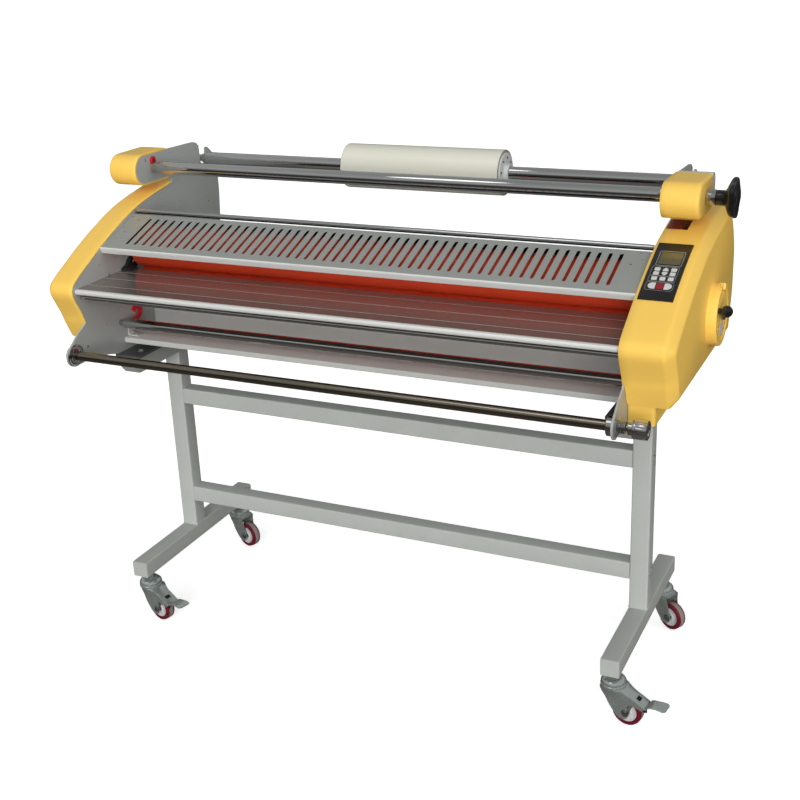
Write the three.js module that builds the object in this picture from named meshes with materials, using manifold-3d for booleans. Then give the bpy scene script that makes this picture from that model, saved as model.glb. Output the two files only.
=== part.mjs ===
// Wide-format cold roll laminator on a four-caster stand.
// Millimetres, +Z up, +X towards the operator's right, -Y towards the operator.
// The working frame below has X = 0 midway between the stand posts, Y = 0 on the
// front face of the posts and Z = 0 on the floor. The exported group is shifted so
// that its origin is the bottom centre of the whole machine.
import * as THREE from "three";
import { mergeVertices } from "three/addons/utils/BufferGeometryUtils.js";
import Module from "manifold-3d";

const wasm = await Module();
wasm.setup();

// ---------------------------------------------------------------- driving dimensions
const ORIGIN = { x: 43.75, y: -18, z: -18 }; // shift from the working frame to the bottom centre
const GAP = 0.3;

// stand
const POST_X = 714, TUBE = 50;
const FOOT_Z0 = 130, FOOT_Z1 = 178, FOOT_Y0 = -268, FOOT_Y1 = 321;
const ARM_Z0 = 750, ARM_Z1 = 800, PAD_T = 6;
const BEAM_UP = [585, 634], BEAM_LOW = [261, 310];
const TUBE_WALL = 2.5;

// side plates and covers
const PLATE_IN = 745.5, PLATE_T = 5, PLATE_OUT = PLATE_IN + PLATE_T;
const COVER_WALL = 3.5;
const COVER_R = { x0: 745.3, x1: 850, x2: 868, inset: 24 };
const COVER_L = { x0: 745.3, x1: 821, x2: 840, inset: 24 };
const SKIRT_X = 814, SKIRT_Z0 = 832;

// rollers
const ROLL_Y = -65, ROLL_R = 60, NIP_Z = 1032, ROLL_HALF = 722, JOURNAL_R = 12.5;
const LOW_Z = NIP_Z - ROLL_R - 0.2, UP_Z = NIP_Z + ROLL_R + 0.2, LIFT = 16;

// drive: module 4.5 spur pair
const GEAR_M = 4.5, GEAR_N = 32, PINION_N = 12, PINION_Y = 28;
const CENTRES = (GEAR_M * (GEAR_N + PINION_N)) / 2;
const PINION_Z = LOW_Z - Math.sqrt(CENTRES ** 2 - (PINION_Y - ROLL_Y) ** 2);
const GEAR_X = [-780, -768];

// lift cam and lever
const CAM_Y = 30, CAM_Z = 1010, CAM_SHAFT_R = 8, CAM_R = 17, CAM_E = 12.4, CAM_TRAVEL = 80;
const BOSS_R = 76, BOSS_X = 893;
const BALL = { x: 913, y: -27, z: 1037, r: 14.5 };

// supply shafts, heads, guide bars, take-up bar
const HEAD_Y = 10, HEAD_Z = 1289, HEAD_R = 44, HEAD_BACK = 120, HEAD_X = 838;
const FRONT_SHAFT = { y: 50, z: 1290, r: 18 };
const REAR_SHAFT = { y: 305, z: 1270, r: 18 };
const FILM = { x0: -240, x1: 235, r: 62.5 };
const GUARD_BAR = { y: -51, z: 1185, r: 7 };
const FRONT_BAR = { y: -330, z: 1010, r: 7 };
const LINER_SHAFT = { y: -178, z: 892, r: 14.5 };
const TAKEUP = { y: -384, z: 862, r: 12.5, ear: 31 };

// guard, table, panels
const GUARD = { y0: -229, z0: 1122, y1: -64, z1: 1179, t: 2, lip: 20, slots: 52, slotW: 9, slotX: 673 };
const TABLE = { y0: -352, y1: -119, z: 1036, t: 3, lip: 15 };
const PANEL_Y = -16, CROSS = { y0: -168, z0: 830, z1: 845 };

// casters
const CASTER_Y = [-225, 275], TRAIL = 42, WHEEL_R = 40, WHEEL_W = 30; // heights of the caster parts are above the floor
const SWIVEL = { front_left: -14, front_right: -8, rear_left: -16, rear_right: -28 }; // degrees about +Z at rest, trailing side from +X

// ---------------------------------------------------------------- geometry helpers
const deg = THREE.MathUtils.degToRad;

function toSolid(geometry) {
  let g = geometry.index ? geometry.toNonIndexed() : geometry.clone();
  for (const name of Object.keys(g.attributes)) if (name !== "position") g.deleteAttribute(name);
  g = mergeVertices(g, 1e-4);
  const build = (tri) =>
    new wasm.Manifold(
      new wasm.Mesh({ numProp: 3, vertProperties: new Float32Array(g.attributes.position.array), triVerts: tri }),
    );
  const tri = new Uint32Array(g.index.array);
  let s = build(tri);
  if (s.volume() < 0) {
    const back = new Uint32Array(tri);
    for (let i = 0; i < back.length; i += 3) [back[i + 1], back[i + 2]] = [back[i + 2], back[i + 1]];
    s = build(back);
  }
  return s;
}
function toGeometry(solid) {
  const m = solid.getMesh(), v = new Float32Array(m.numVert * 3);
  for (let i = 0; i < m.numVert; i++) v.set(m.vertProperties.subarray(i * m.numProp, i * m.numProp + 3), i * 3);
  const g = new THREE.BufferGeometry();
  g.setAttribute("position", new THREE.BufferAttribute(v, 3));
  g.setIndex(new THREE.BufferAttribute(new Uint32Array(m.triVerts), 1));
  const flat = g.toNonIndexed();
  flat.computeVertexNormals();
  return flat;
}
const add = (...s) => s.reduce((a, b) => a.add(b));
const cut = (a, ...s) => s.reduce((x, b) => x.subtract(b), a);

function box(x0, x1, y0, y1, z0, z1) {
  const g = new THREE.BoxGeometry(Math.abs(x1 - x0), Math.abs(y1 - y0), Math.abs(z1 - z0));
  g.translate((x0 + x1) / 2, (y0 + y1) / 2, (z0 + z1) / 2);
  return toSolid(g);
}
// profile in (Y, Z), extruded from x0 to x1
function alongX(profile, x0, x1, holes = []) {
  const shape = new THREE.Shape(profile.map(([y, z]) => new THREE.Vector2(y, z)));
  for (const h of holes) shape.holes.push(new THREE.Path(h.map(([y, z]) => new THREE.Vector2(y, z))));
  const g = new THREE.ExtrudeGeometry(shape, { depth: Math.abs(x1 - x0), bevelEnabled: false, steps: 1 });
  g.applyMatrix4(new THREE.Matrix4().set(0, 0, 1, Math.min(x0, x1), 1, 0, 0, 0, 0, 1, 0, 0, 0, 0, 0, 1));
  return toSolid(g);
}
// [radius, x] profile turned about an axis parallel to X through (y, z)
function turnX(profile, y, z, sides = 24, phase = 0) {
  const g = new THREE.LatheGeometry(profile.map(([r, x]) => new THREE.Vector2(r, x)), sides, phase);
  g.applyMatrix4(new THREE.Matrix4().set(0, 1, 0, 0, 0, 0, 1, y, 1, 0, 0, z, 0, 0, 0, 1));
  return toSolid(g);
}
const barX = (r, x0, x1, y, z, sides = 24) => turnX([[0, x0], [r, x0], [r, x1], [0, x1]], y, z, sides);
// [radius, z] profile turned about a vertical axis through (x, y)
function turnZ(profile, x, y, sides = 24) {
  const g = new THREE.LatheGeometry(profile.map(([r, h]) => new THREE.Vector2(r, h)), sides);
  g.applyMatrix4(new THREE.Matrix4().set(0, 0, 1, x, 1, 0, 0, y, 0, 1, 0, 0, 0, 0, 0, 1));
  return toSolid(g);
}
const circle = (y, z, r, n = 20, a0 = 0) =>
  Array.from({ length: n }, (_, i) => [y + r * Math.cos(a0 + (i * 2 * Math.PI) / n), z + r * Math.sin(a0 + (i * 2 * Math.PI) / n)]);
const arc = (y, z, r, from, to, n) =>
  Array.from({ length: n + 1 }, (_, i) => {
    const t = deg(from + ((to - from) * i) / n);
    return [y + r * Math.cos(t), z + r * Math.sin(t)];
  });
// closed outline moved inwards (d > 0) or outwards (d < 0)
function inset(outline, d) {
  const n = outline.length;
  let area = 0;
  for (let i = 0; i < n; i++) {
    const [a, b] = [outline[i], outline[(i + 1) % n]];
    area += a[0] * b[1] - b[0] * a[1];
  }
  const s = area > 0 ? 1 : -1;
  return outline.map((p, i) => {
    const a = outline[(i + n - 1) % n], b = outline[(i + 1) % n];
    const u = [p[0] - a[0], p[1] - a[1]], v = [b[0] - p[0], b[1] - p[1]];
    const lu = Math.hypot(...u), lv = Math.hypot(...v);
    const nu = [(-u[1] / lu) * s, (u[0] / lu) * s], nv = [(-v[1] / lv) * s, (v[0] / lv) * s];
    const k = 1 + nu[0] * nv[0] + nu[1] * nv[1];
    return [p[0] + ((nu[0] + nv[0]) * d) / k, p[1] + ((nu[1] + nv[1]) * d) / k];
  });
}
// solid between equal-length (Y, Z) outlines at given x stations
function loft(given) {
  const area = THREE.ShapeUtils.area(given[0].p.map(([y, z]) => new THREE.Vector2(y, z)));
  const sections = area < 0 ? given.map((s) => ({ x: s.x, p: [...s.p].reverse() })) : given;
  const n = sections[0].p.length, pos = [], idx = [];
  for (const s of sections) for (const [y, z] of s.p) pos.push(s.x, y, z);
  for (let k = 0; k < sections.length - 1; k++)
    for (let i = 0; i < n; i++) {
      const a = k * n + i, b = k * n + ((i + 1) % n), c = a + n, d = b + n;
      idx.push(a, b, d, a, d, c);
    }
  for (const k of [0, sections.length - 1]) {
    const tri = THREE.ShapeUtils.triangulateShape(sections[k].p.map(([y, z]) => new THREE.Vector2(y, z)), []);
    for (const [a, b, c] of tri) k ? idx.push(k * n + a, k * n + b, k * n + c) : idx.push(c, b, a);
  }
  const g = new THREE.BufferGeometry();
  g.setAttribute("position", new THREE.BufferAttribute(new Float32Array(pos), 3));
  g.setIndex(idx);
  return toSolid(g);
}
const flipX = (solid) => {
  const g = toGeometry(solid);
  g.applyMatrix4(new THREE.Matrix4().makeScale(-1, 1, 1));
  return toSolid(g);
};

// ---------------------------------------------------------------- scene graph
const root = new THREE.Group();
const paint = (color, roughness, metalness) => new THREE.MeshStandardMaterial({ color, roughness, metalness });
const M = {
  grey: () => paint(0xa9aca6, 0.55, 0.1), light: () => paint(0xc3c6c1, 0.5, 0.1), yellow: () => paint(0xf0c04c, 0.4, 0),
  red: () => paint(0xc4381c, 0.5, 0), steel: () => paint(0xb9bbbd, 0.3, 1), chrome: () => paint(0xd8dadc, 0.1, 1),
  black: () => paint(0x17171a, 0.35, 0), film: () => paint(0xf1efe2, 0.4, 0), zinc: () => paint(0xb7b4a8, 0.4, 1),
  glass: () => paint(0x4a4a30, 0.15, 0), maroon: () => paint(0x6e1f2e, 0.4, 0), latch: () => paint(0xc01220, 0.4, 0),
};
function node(name, solid, material) {
  const mesh = new THREE.Mesh(toGeometry(solid), material);
  mesh.name = name;
  root.add(mesh);
  return mesh;
}

// ---------------------------------------------------------------- stand, square tube of TUBE_WALL
const armProfile = [[-190, ARM_Z0], [-235, ARM_Z1], [262, ARM_Z1], [217, ARM_Z0]];
for (const [side, s] of [["left", -1], ["right", 1]]) {
  const x0 = s * (POST_X - TUBE / 2), x1 = s * (POST_X + TUBE / 2), w = TUBE_WALL;
  const i0 = x0 + s * w, i1 = x1 - s * w;
  // posts are open at both ends; feet and arms are capped and open under and over the post
  node("stand_post_" + side, cut(box(x0, x1, 0, TUBE, FOOT_Z1 + GAP, ARM_Z0 - GAP), box(i0, i1, w, TUBE - w, FOOT_Z1 - 5, ARM_Z0 + 5)), M.grey());
  node("stand_foot_" + side, cut(box(x0, x1, FOOT_Y0, FOOT_Y1, FOOT_Z0, FOOT_Z1),
    box(i0, i1, FOOT_Y0 + w, FOOT_Y1 - w, FOOT_Z0 + w, FOOT_Z1 - w),
    box(i0 + s * 4, i1 - s * 4, 7, TUBE - 7, FOOT_Z1 - w - 5, FOOT_Z1 + 5)), M.grey());
  const arm = cut(alongX(armProfile, x0, x1), alongX(inset(armProfile, w), i0, i1), box(i0 + s * 4, i1 - s * 4, 7, TUBE - 7, ARM_Z0 - 5, ARM_Z0 + w + 5));
  const pad = box(s * 672, s * 756, -208, 235, ARM_Z1 - 1, ARM_Z1 + PAD_T);
  node("stand_arm_" + side, add(arm, pad), M.grey());
}
const beamX = POST_X - TUBE / 2 - GAP;
for (const [name, [z0, z1]] of [["stand_beam_upper", BEAM_UP], ["stand_beam_lower", BEAM_LOW]])
  node(name, cut(box(-beamX, beamX, 1, 49, z0, z1), box(-beamX - 5, beamX + 5, 1 + TUBE_WALL, 49 - TUBE_WALL, z0 + TUBE_WALL, z1 - TUBE_WALL)), M.grey());

// ---------------------------------------------------------------- cover and plate outlines, (Y, Z)
const FRONT_EDGE = [
  [-300, 883], [-322, 930], [-332, 956], [-351, 993], [-361, 1013], [-364.5, 1028], [-361, 1043], [-348, 1056.5],
  [-310, 1079], [-276, 1097], [-243, 1115], [-210, 1131.5], [-176, 1147.5], [-142, 1162], [-112, 1174.5], [-80, 1186.5],
  [-50, 1196], [-20, 1204], [22, 1213], [64, 1221], [138, 1232],
];
const COVER = [...FRONT_EDGE, [196, 1239], [232, 1229], [262, 1200], [285, 1157], [301, 1104], [301, 1000], [267, 883]];
const EDGE_IN = inset(COVER, COVER_WALL + 1);
const lobe = [
  ...arc(HEAD_Y, HEAD_Z, HEAD_R - 4.5, 270, 90, 10),
  [135, HEAD_Z + 39.5], [262, 1325], [277, 1321], [287, 1311], [290, 1297], [290, 1264],
  ...arc(305.5, 1268, 15.5, 194, 346, 4), [321, 1298], [331, 1300], [347, 1289], [362, 1273], [373, 1244], [379, 1206],
  [378, 1150], [372, 1080], [360, 1000], [330, 900], [290, 830], [278, 807],
];
const PLATE = [
  [-205, 807], [-250, 820], [-340, 831],
  ...arc(TAKEUP.y, TAKEUP.z, TAKEUP.ear, 278, 150, 9),
  [-366, 912], [-322, 936],
  ...EDGE_IN.slice(2, 20), [128, 1226], [139, 1234], [128, HEAD_Z - 39.5],
  ...lobe,
];

// ---------------------------------------------------------------- side plates
function slotOutline(y, z0, z1, r) {
  return [...arc(y, z1, r, 0, 180, 6), ...arc(y, z0, r, 180, 360, 6)];
}
for (const [side, s] of [["left", -1], ["right", 1]]) {
  const holes = [
    slotOutline(ROLL_Y, UP_Z, UP_Z + LIFT, JOURNAL_R + 1.5),
    circle(ROLL_Y, LOW_Z, JOURNAL_R + 1, 16), circle(CAM_Y, CAM_Z, CAM_SHAFT_R + 1, 12),
    circle(FRONT_SHAFT.y, FRONT_SHAFT.z, 11, 12), circle(TAKEUP.y, TAKEUP.z, 9, 12),
  ];
  if (s < 0) holes.push(circle(PINION_Y, PINION_Z, 9, 12));
  let plate = alongX(PLATE, PLATE_IN, PLATE_OUT, holes);
  // lower bearing housing, welded on the outside
  plate = add(plate, turnX([[JOURNAL_R + 1, PLATE_OUT - 1], [27, PLATE_OUT - 1], [27, PLATE_OUT + 12], [JOURNAL_R + 1, PLATE_OUT + 12], [JOURNAL_R + 1, PLATE_OUT - 1]], ROLL_Y, LOW_Z, 16));
  node("side_plate_" + side, s < 0 ? flipX(plate) : plate, M.grey());
}
const plateClear = alongX(inset(PLATE, -0.5), PLATE_IN - 3, PLATE_OUT + 0.4);

// ---------------------------------------------------------------- end covers (open shells)
function cover(c, boss) {
  const out1 = COVER, out2 = inset(COVER, c.inset);
  const in1 = inset(COVER, COVER_WALL), in2 = inset(COVER, c.inset + 2);
  let outer = loft([{ x: c.x0, p: out1 }, { x: c.x1, p: out1 }, { x: c.x2, p: out2 }]);
  // skirt below the main shell
  outer = add(outer, box(c.x0, Math.min(SKIRT_X, c.x1), -290, 255, SKIRT_Z0, 890));
  if (boss) outer = add(outer, barX(BOSS_R, c.x2 - 10, BOSS_X, CAM_Y, CAM_Z, 28));
  let inner = loft([{ x: c.x0 - 5, p: in1 }, { x: c.x1 - 1.5, p: in1 }, { x: c.x2 - COVER_WALL, p: in2 }]);
  inner = add(inner, box(c.x0 - 5, Math.min(SKIRT_X, c.x1) - COVER_WALL, -286, 251, SKIRT_Z0 - 5, 895));
  let shell = cut(outer, inner);
  if (boss) shell = cut(shell, barX(BOSS_R - 5, c.x2 - 20, BOSS_X - 6, CAM_Y, CAM_Z, 28), barX(60, BOSS_X - 10, BOSS_X + 5, CAM_Y, CAM_Z, 28));
  return cut(shell, plateClear);
}
node("cover_right", cover(COVER_R, true), M.yellow());
node("cover_left", flipX(cover(COVER_L, false)), M.yellow());

// ---------------------------------------------------------------- supply heads
function headOutline(r) {
  return [...arc(HEAD_Y, HEAD_Z, r, 270, 90, 14), [HEAD_BACK - (HEAD_R - r), HEAD_Z + r], [HEAD_BACK - (HEAD_R - r), HEAD_Z - r]];
}
function head(withSleeveHole) {
  const o = headOutline(HEAD_R), o2 = headOutline(HEAD_R - 5), i = headOutline(HEAD_R - 4);
  let h = loft([{ x: 745.3, p: o }, { x: HEAD_X - 5, p: o }, { x: HEAD_X, p: o2 }]);
  h = cut(h, alongX(i, 740, HEAD_X - 9), plateClear);
  if (withSleeveHole) h = cut(h, barX(9.5, HEAD_X - 12, HEAD_X + 2, FRONT_SHAFT.y, FRONT_SHAFT.z, 20));
  return h;
}
node("supply_head_right", head(true), M.yellow());
node("supply_head_left", flipX(head(false)), M.yellow());
node("supply_head_end_cap", loft([
  { x: 752, p: [[120.4, 1249], [150, 1249], [154, 1255], [154, 1318], [148, 1329], [138, 1333], [120.4, 1333]] },
  { x: 836, p: [[120.4, 1249], [150, 1249], [154, 1255], [154, 1318], [148, 1329], [138, 1333], [120.4, 1333]] },
]), M.light());
node("brake_sleeve", turnX([[9, HEAD_X + GAP], [19, HEAD_X + GAP], [19, 861], [9, 861], [9, HEAD_X + GAP]], FRONT_SHAFT.y, FRONT_SHAFT.z, 20), M.steel());

// tension knob: spindle, hub and a five-lobed hand wheel
{
  const { y, z } = FRONT_SHAFT;
  const lobes = 5, ring = [];
  for (let i = 0; i < lobes * 7; i++) {
    const a = (i / (lobes * 7)) * 2 * Math.PI;
    const r = 47.5 + 3.5 * Math.cos(a * lobes);
    ring.push([y + r * Math.cos(a), z + r * Math.sin(a)]);
  }
  const scaled = (k) => ring.map(([a, b]) => [y + (a - y) * k, z + (b - z) * k]);
  const hub = turnX([[0, 830], [8, 830], [8, 862], [18.5, 862], [18.5, 884], [0, 884]], y, z, 20);
  node("tension_knob", add(hub, loft([{ x: 881, p: scaled(0.42) }, { x: 896, p: scaled(0.97) }, { x: 900, p: ring }, { x: 906, p: ring }, { x: 909, p: scaled(0.93) }])), M.black());
}

// ---------------------------------------------------------------- supply shafts and film roll
node("supply_shaft_front", turnX([
  [0, -800], [7.5, -800], [7.5, -738.5], [16, -738.5], [16, -722], [FRONT_SHAFT.r, -720], [FRONT_SHAFT.r, 728],
  [23, 730], [23, 744.7], [10, 744.8], [10, 800], [0, 800],
], FRONT_SHAFT.y, FRONT_SHAFT.z, 20), M.chrome());
node("supply_shaft_rear", turnX([
  [0, -757], [10, -757], [10, -744.7], [13, -744.7], [13, -728], [REAR_SHAFT.r, -726], [REAR_SHAFT.r, 726],
  [13, 728], [13, 744.7], [10, 744.7], [10, 757], [0, 757],
], REAR_SHAFT.y, REAR_SHAFT.z, 20), M.chrome());
{
  const b = REAR_SHAFT.r + 0.4, f = FILM;
  node("film_roll", turnX([
    [b, f.x0 - 14], [44, f.x0 - 14], [44, f.x0], [f.r, f.x0], [f.r, f.x1], [44, f.x1], [44, f.x1 + 16], [b, f.x1 + 16], [b, f.x0 - 14],
  ], REAR_SHAFT.y, REAR_SHAFT.z, 28), M.film());
}

// ---------------------------------------------------------------- rollers, gears, motor
const roller = (z, outer) => turnX([
  [0, -outer[0]], [JOURNAL_R, -outer[0]], [JOURNAL_R, -742], [ROLL_R - 8, -ROLL_HALF - 2], [ROLL_R, -ROLL_HALF],
  [ROLL_R, ROLL_HALF], [ROLL_R - 8, ROLL_HALF + 2], [JOURNAL_R, 742], [JOURNAL_R, outer[1]], [0, outer[1]],
], ROLL_Y, z, 28);
node("lower_roller", roller(LOW_Z, [767.6, 763]), M.red());
node("upper_roller", roller(UP_Z, [764, 764]), M.red());

function spur(teeth, y, z, x0, x1, phase, hub) {
  const pitch = (GEAR_M * teeth) / 2, add_ = GEAR_M * 0.8, ded = GEAR_M * 1.1, p = [], step = (2 * Math.PI) / teeth;
  for (let i = 0; i < teeth; i++) {
    const a = phase + i * step, root_ = step * 0.29, tip = step * 0.13;
    for (const [d, r] of [[-root_, pitch - ded], [-tip, pitch + add_], [tip, pitch + add_], [root_, pitch - ded]])
      p.push([y + r * Math.cos(a + d), z + r * Math.sin(a + d)]);
  }
  return add(alongX(p, x0, x1), hub);
}
const toPinion = Math.atan2(PINION_Z - LOW_Z, PINION_Y - ROLL_Y);
node("drive_gear", spur(GEAR_N, ROLL_Y, LOW_Z, GEAR_X[0], GEAR_X[1], toPinion, barX(22, GEAR_X[0] - 8, GEAR_X[0] + 1, ROLL_Y, LOW_Z, 16)), M.steel());
node("motor_pinion", spur(PINION_N, PINION_Y, PINION_Z, GEAR_X[0], GEAR_X[1], toPinion + Math.PI + Math.PI / PINION_N,
  barX(7, GEAR_X[1] - 1, -739.4, PINION_Y, PINION_Z, 12)), M.steel());
node("drive_motor", turnX([
  [0, -739], [20, -739], [20, -744.9], [34, -744.9], [34, -690], [31, -690], [31, -590], [0, -590],
], PINION_Y, PINION_Z, 20).subtract(barX(8.5, -750, -738.5, PINION_Y, PINION_Z, 12)), M.steel());

// ---------------------------------------------------------------- lift cam, lever and bearing carriages
const camCentre = [CAM_Y + CAM_E * Math.cos(deg(-CAM_TRAVEL / 2) + Math.PI), CAM_Z + CAM_E * Math.sin(deg(-CAM_TRAVEL / 2))];
{
  let shaft = barX(CAM_SHAFT_R, -768, 901, CAM_Y, CAM_Z, 14);
  for (const s of [-1, 1]) shaft = add(shaft, barX(CAM_R, s * 752, s * 763, camCentre[0], camCentre[1], 18));
  // round dial that fills the mouth of the boss
  shaft = add(shaft, turnX([[0, 880], [58, 880], [58, 890], [54, 892], [0, 892]], CAM_Y, CAM_Z, 24));
  node("lift_camshaft", shaft, M.yellow());
}
{
  const dy = BALL.y - CAM_Y, dz = BALL.z - CAM_Z, L = Math.hypot(dy, dz), a = Math.atan2(dz, dy);
  const place = (u, v) => [CAM_Y + u * Math.cos(a) - v * Math.sin(a), CAM_Z + u * Math.sin(a) + v * Math.cos(a)];
  const bar = [];
  for (let i = 0; i <= 6; i++) bar.push(place(12 * Math.cos(deg(90 + i * 30)), 12 * Math.sin(deg(90 + i * 30))));
  for (let i = 0; i <= 6; i++) bar.push(place(L + 7 * Math.cos(deg(-90 + i * 30)), 7 * Math.sin(deg(-90 + i * 30))));
  const arm = alongX(bar, 893.4, 898.4, [circle(CAM_Y, CAM_Z, CAM_SHAFT_R + 0.5, 16)]);
  const stem = barX(4, 897, BALL.x, BALL.y, BALL.z, 8);
  const g = new THREE.SphereGeometry(BALL.r, 16, 8);
  g.rotateZ(Math.PI / 2);
  g.translate(BALL.x, BALL.y, BALL.z);
  node("lift_lever", add(arm, stem, toSolid(g)), M.black());
}
for (const [side, s] of [["left", -1], ["right", 1]]) {
  const foot = CAM_Z + CAM_R + CAM_E * Math.sin(deg(-CAM_TRAVEL / 2)) + 0.9;
  const prof = [[-105, 1064], [-30, 1064], [8, 1040], [8, foot], [54, foot], [54, foot + 14], [30, 1070], [-20, 1128], [-105, 1128]];
  const c = alongX(prof, PLATE_OUT + 1.2, PLATE_OUT + 12.2, [circle(ROLL_Y, UP_Z, JOURNAL_R + 0.5, 20)]);
  node("bearing_carriage_" + side, s < 0 ? flipX(c) : c, M.steel());
}

// ---------------------------------------------------------------- guard, table, panels
{
  const dy = GUARD.y1 - GUARD.y0, dz = GUARD.z1 - GUARD.z0, L = Math.hypot(dy, dz), a = Math.atan2(dz, dy);
  const half = PLATE_IN - 0.5;
  const v0 = 27, v1 = L - 17;
  let sheet = box(-half, half, 0, L, 0, GUARD.t);
  for (let i = 0; i < GUARD.slots; i++) {
    const x = -GUARD.slotX + (i * 2 * GUARD.slotX) / (GUARD.slots - 1), w = GUARD.slotW / 2;
    sheet = cut(sheet, box(x - w, x + w, v0, v1, -1, GUARD.t + 1));
  }
  const g = toGeometry(sheet);
  g.rotateX(a);
  g.translate(0, GUARD.y0, GUARD.z0 - GUARD.t);
  const lip = alongX([[GUARD.y0 - 0.6, GUARD.z0 + 0.2], [GUARD.y0 + 9.5, GUARD.z0 - GUARD.lip], [GUARD.y0 + 11.5, GUARD.z0 - GUARD.lip + 0.6], [GUARD.y0 + 2.4, GUARD.z0 - 0.4]], -half, half);
  // rear skirt: runs down behind the upper roller, clear of it when it is lifted
  const skirt = alongX([[GUARD.y1 - 2, GUARD.z1 - 0.6], [-4, 1151], [-1.6, 1150], [-1.6, 1098], [-3.6, 1098], [-3.6, 1148.6], [-5, 1149.4], [GUARD.y1 - 1.6, GUARD.z1 - 1.9]], -half, half);
  node("roller_guard", add(toSolid(g), lip, skirt), M.grey());
}
{
  const T = TABLE, half = PLATE_IN - 0.5;
  node("feed_table", alongX([
    [T.y1, T.z], [T.y0 + 6, T.z], [T.y0 + 1.5, T.z - 1.8], [T.y0, T.z - 6], [T.y0 + 1.5, T.z - 12], [T.y0 + 6, T.z - T.lip],
    [T.y0 + 14, T.z - T.lip], [T.y0 + 14, T.z - T.lip + 2], [T.y0 + 8, T.z - T.lip + 3], [T.y0 + 5, T.z - 6], [T.y0 + 8, T.z - T.t],
    [T.y1 - T.t, T.z - T.t], [T.y1 - T.t, T.z - 34], [T.y1, T.z - 34],
  ], -half, half), M.light());
  node("front_panel", alongX([[PANEL_Y, CROSS.z1 + GAP], [PANEL_Y, 905], [PANEL_Y - 2, 905], [PANEL_Y - 2, CROSS.z1 + GAP]], -half, half), M.light());
  node("lower_crossmember", alongX([
    [CROSS.y0, CROSS.z1], [PANEL_Y + 4, CROSS.z1], [PANEL_Y + 4, CROSS.z1 - 3], [CROSS.y0 + 3, CROSS.z1 - 3], [CROSS.y0 + 3, CROSS.z0], [CROSS.y0, CROSS.z0],
  ], -half, half), M.light());
  node("rear_cover", alongX([
    [6, 1026], [246, 1026], [256, 1016], [256, 846], [200, 846], [200, 848.5], [253.5, 848.5], [253.5, 1015], [245, 1023.5], [6, 1023.5],
  ], -half, half), M.grey());
}

// ---------------------------------------------------------------- guide bars, liner shaft, take-up bar
node("guard_bar", barX(GUARD_BAR.r, -744.9, 744.9, GUARD_BAR.y, GUARD_BAR.z, 18), M.chrome());
node("guide_bar_front", barX(FRONT_BAR.r, -744.9, 744.9, FRONT_BAR.y, FRONT_BAR.z, 18), M.chrome());
node("liner_shaft", turnX([
  [0, -744.9], [9, -744.9], [9, -730], [LINER_SHAFT.r, -728], [LINER_SHAFT.r, 728], [9, 730], [9, 744.9], [0, 744.9],
], LINER_SHAFT.y, LINER_SHAFT.z, 20), M.chrome());
node("takeup_bar", turnX([
  [0, -758], [22, -758], [24, -756], [24, -751.5], [8, -751.5], [8, -744.9], [30, -744.9], [30, -740.5], [TAKEUP.r, -739], [TAKEUP.r, 731],
  [24, 731], [24, 744.9], [8, 744.9], [8, 778], [0, 778],
], TAKEUP.y, TAKEUP.z, 20), M.steel());
{
  const turns = 4.5, pts = [];
  for (let i = 0; i <= turns * 8; i++) {
    const t = (i / 8) * 2 * Math.PI;
    pts.push(new THREE.Vector3(754 + (i / (turns * 8)) * 20, TAKEUP.y + 13.5 * Math.cos(t), TAKEUP.z + 13.5 * Math.sin(t)));
  }
  const section = new THREE.Shape(circle(0, 0, 1.7, 5).map(([a, b]) => new THREE.Vector2(a, b)));
  const g = new THREE.ExtrudeGeometry(section, { steps: turns * 8, extrudePath: new THREE.CatmullRomCurve3(pts), bevelEnabled: false });
  node("takeup_spring", toSolid(g), M.steel());
  const k = [];
  for (let i = 0; i < 36; i++) {
    const a = (i / 36) * 2 * Math.PI, r = i % 2 ? 23.5 : 22.4;
    k.push([TAKEUP.y + r * Math.cos(a), TAKEUP.z + r * Math.sin(a)]);
  }
  node("takeup_knob", add(
    barX(16, 778.4, 791, TAKEUP.y, TAKEUP.z, 20),
    loft([{ x: 790, p: inset(k, 1.5) }, { x: 791.5, p: k }, { x: 821.5, p: k }, { x: 823.5, p: inset(k, 1.8) }]),
  ), M.steel());
}

// ---------------------------------------------------------------- latches on the left plate
{
  node("latch_upper", alongX(circle(50, 1309.8, 11.5, 20), -744.9, -739.5), M.latch());
  const mid = [[-122, 909], [-114, 917], [-103, 920], [-93, 915], [-89, 904], [-94, 893], [-106, 885], [-126, 880], [-150, 883]];
  const w = 5.5, left = [], right = [];
  mid.forEach((p, i) => {
    const a = mid[Math.max(0, i - 1)], b = mid[Math.min(mid.length - 1, i + 1)], l = Math.hypot(b[0] - a[0], b[1] - a[1]);
    const n = [-(b[1] - a[1]) / l, (b[0] - a[0]) / l];
    left.push([p[0] + n[0] * w, p[1] + n[1] * w]);
    right.unshift([p[0] - n[0] * w, p[1] - n[1] * w]);
  });
  node("latch_lower", alongX([...left, ...right], -744.9, -736), M.latch());
}

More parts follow.
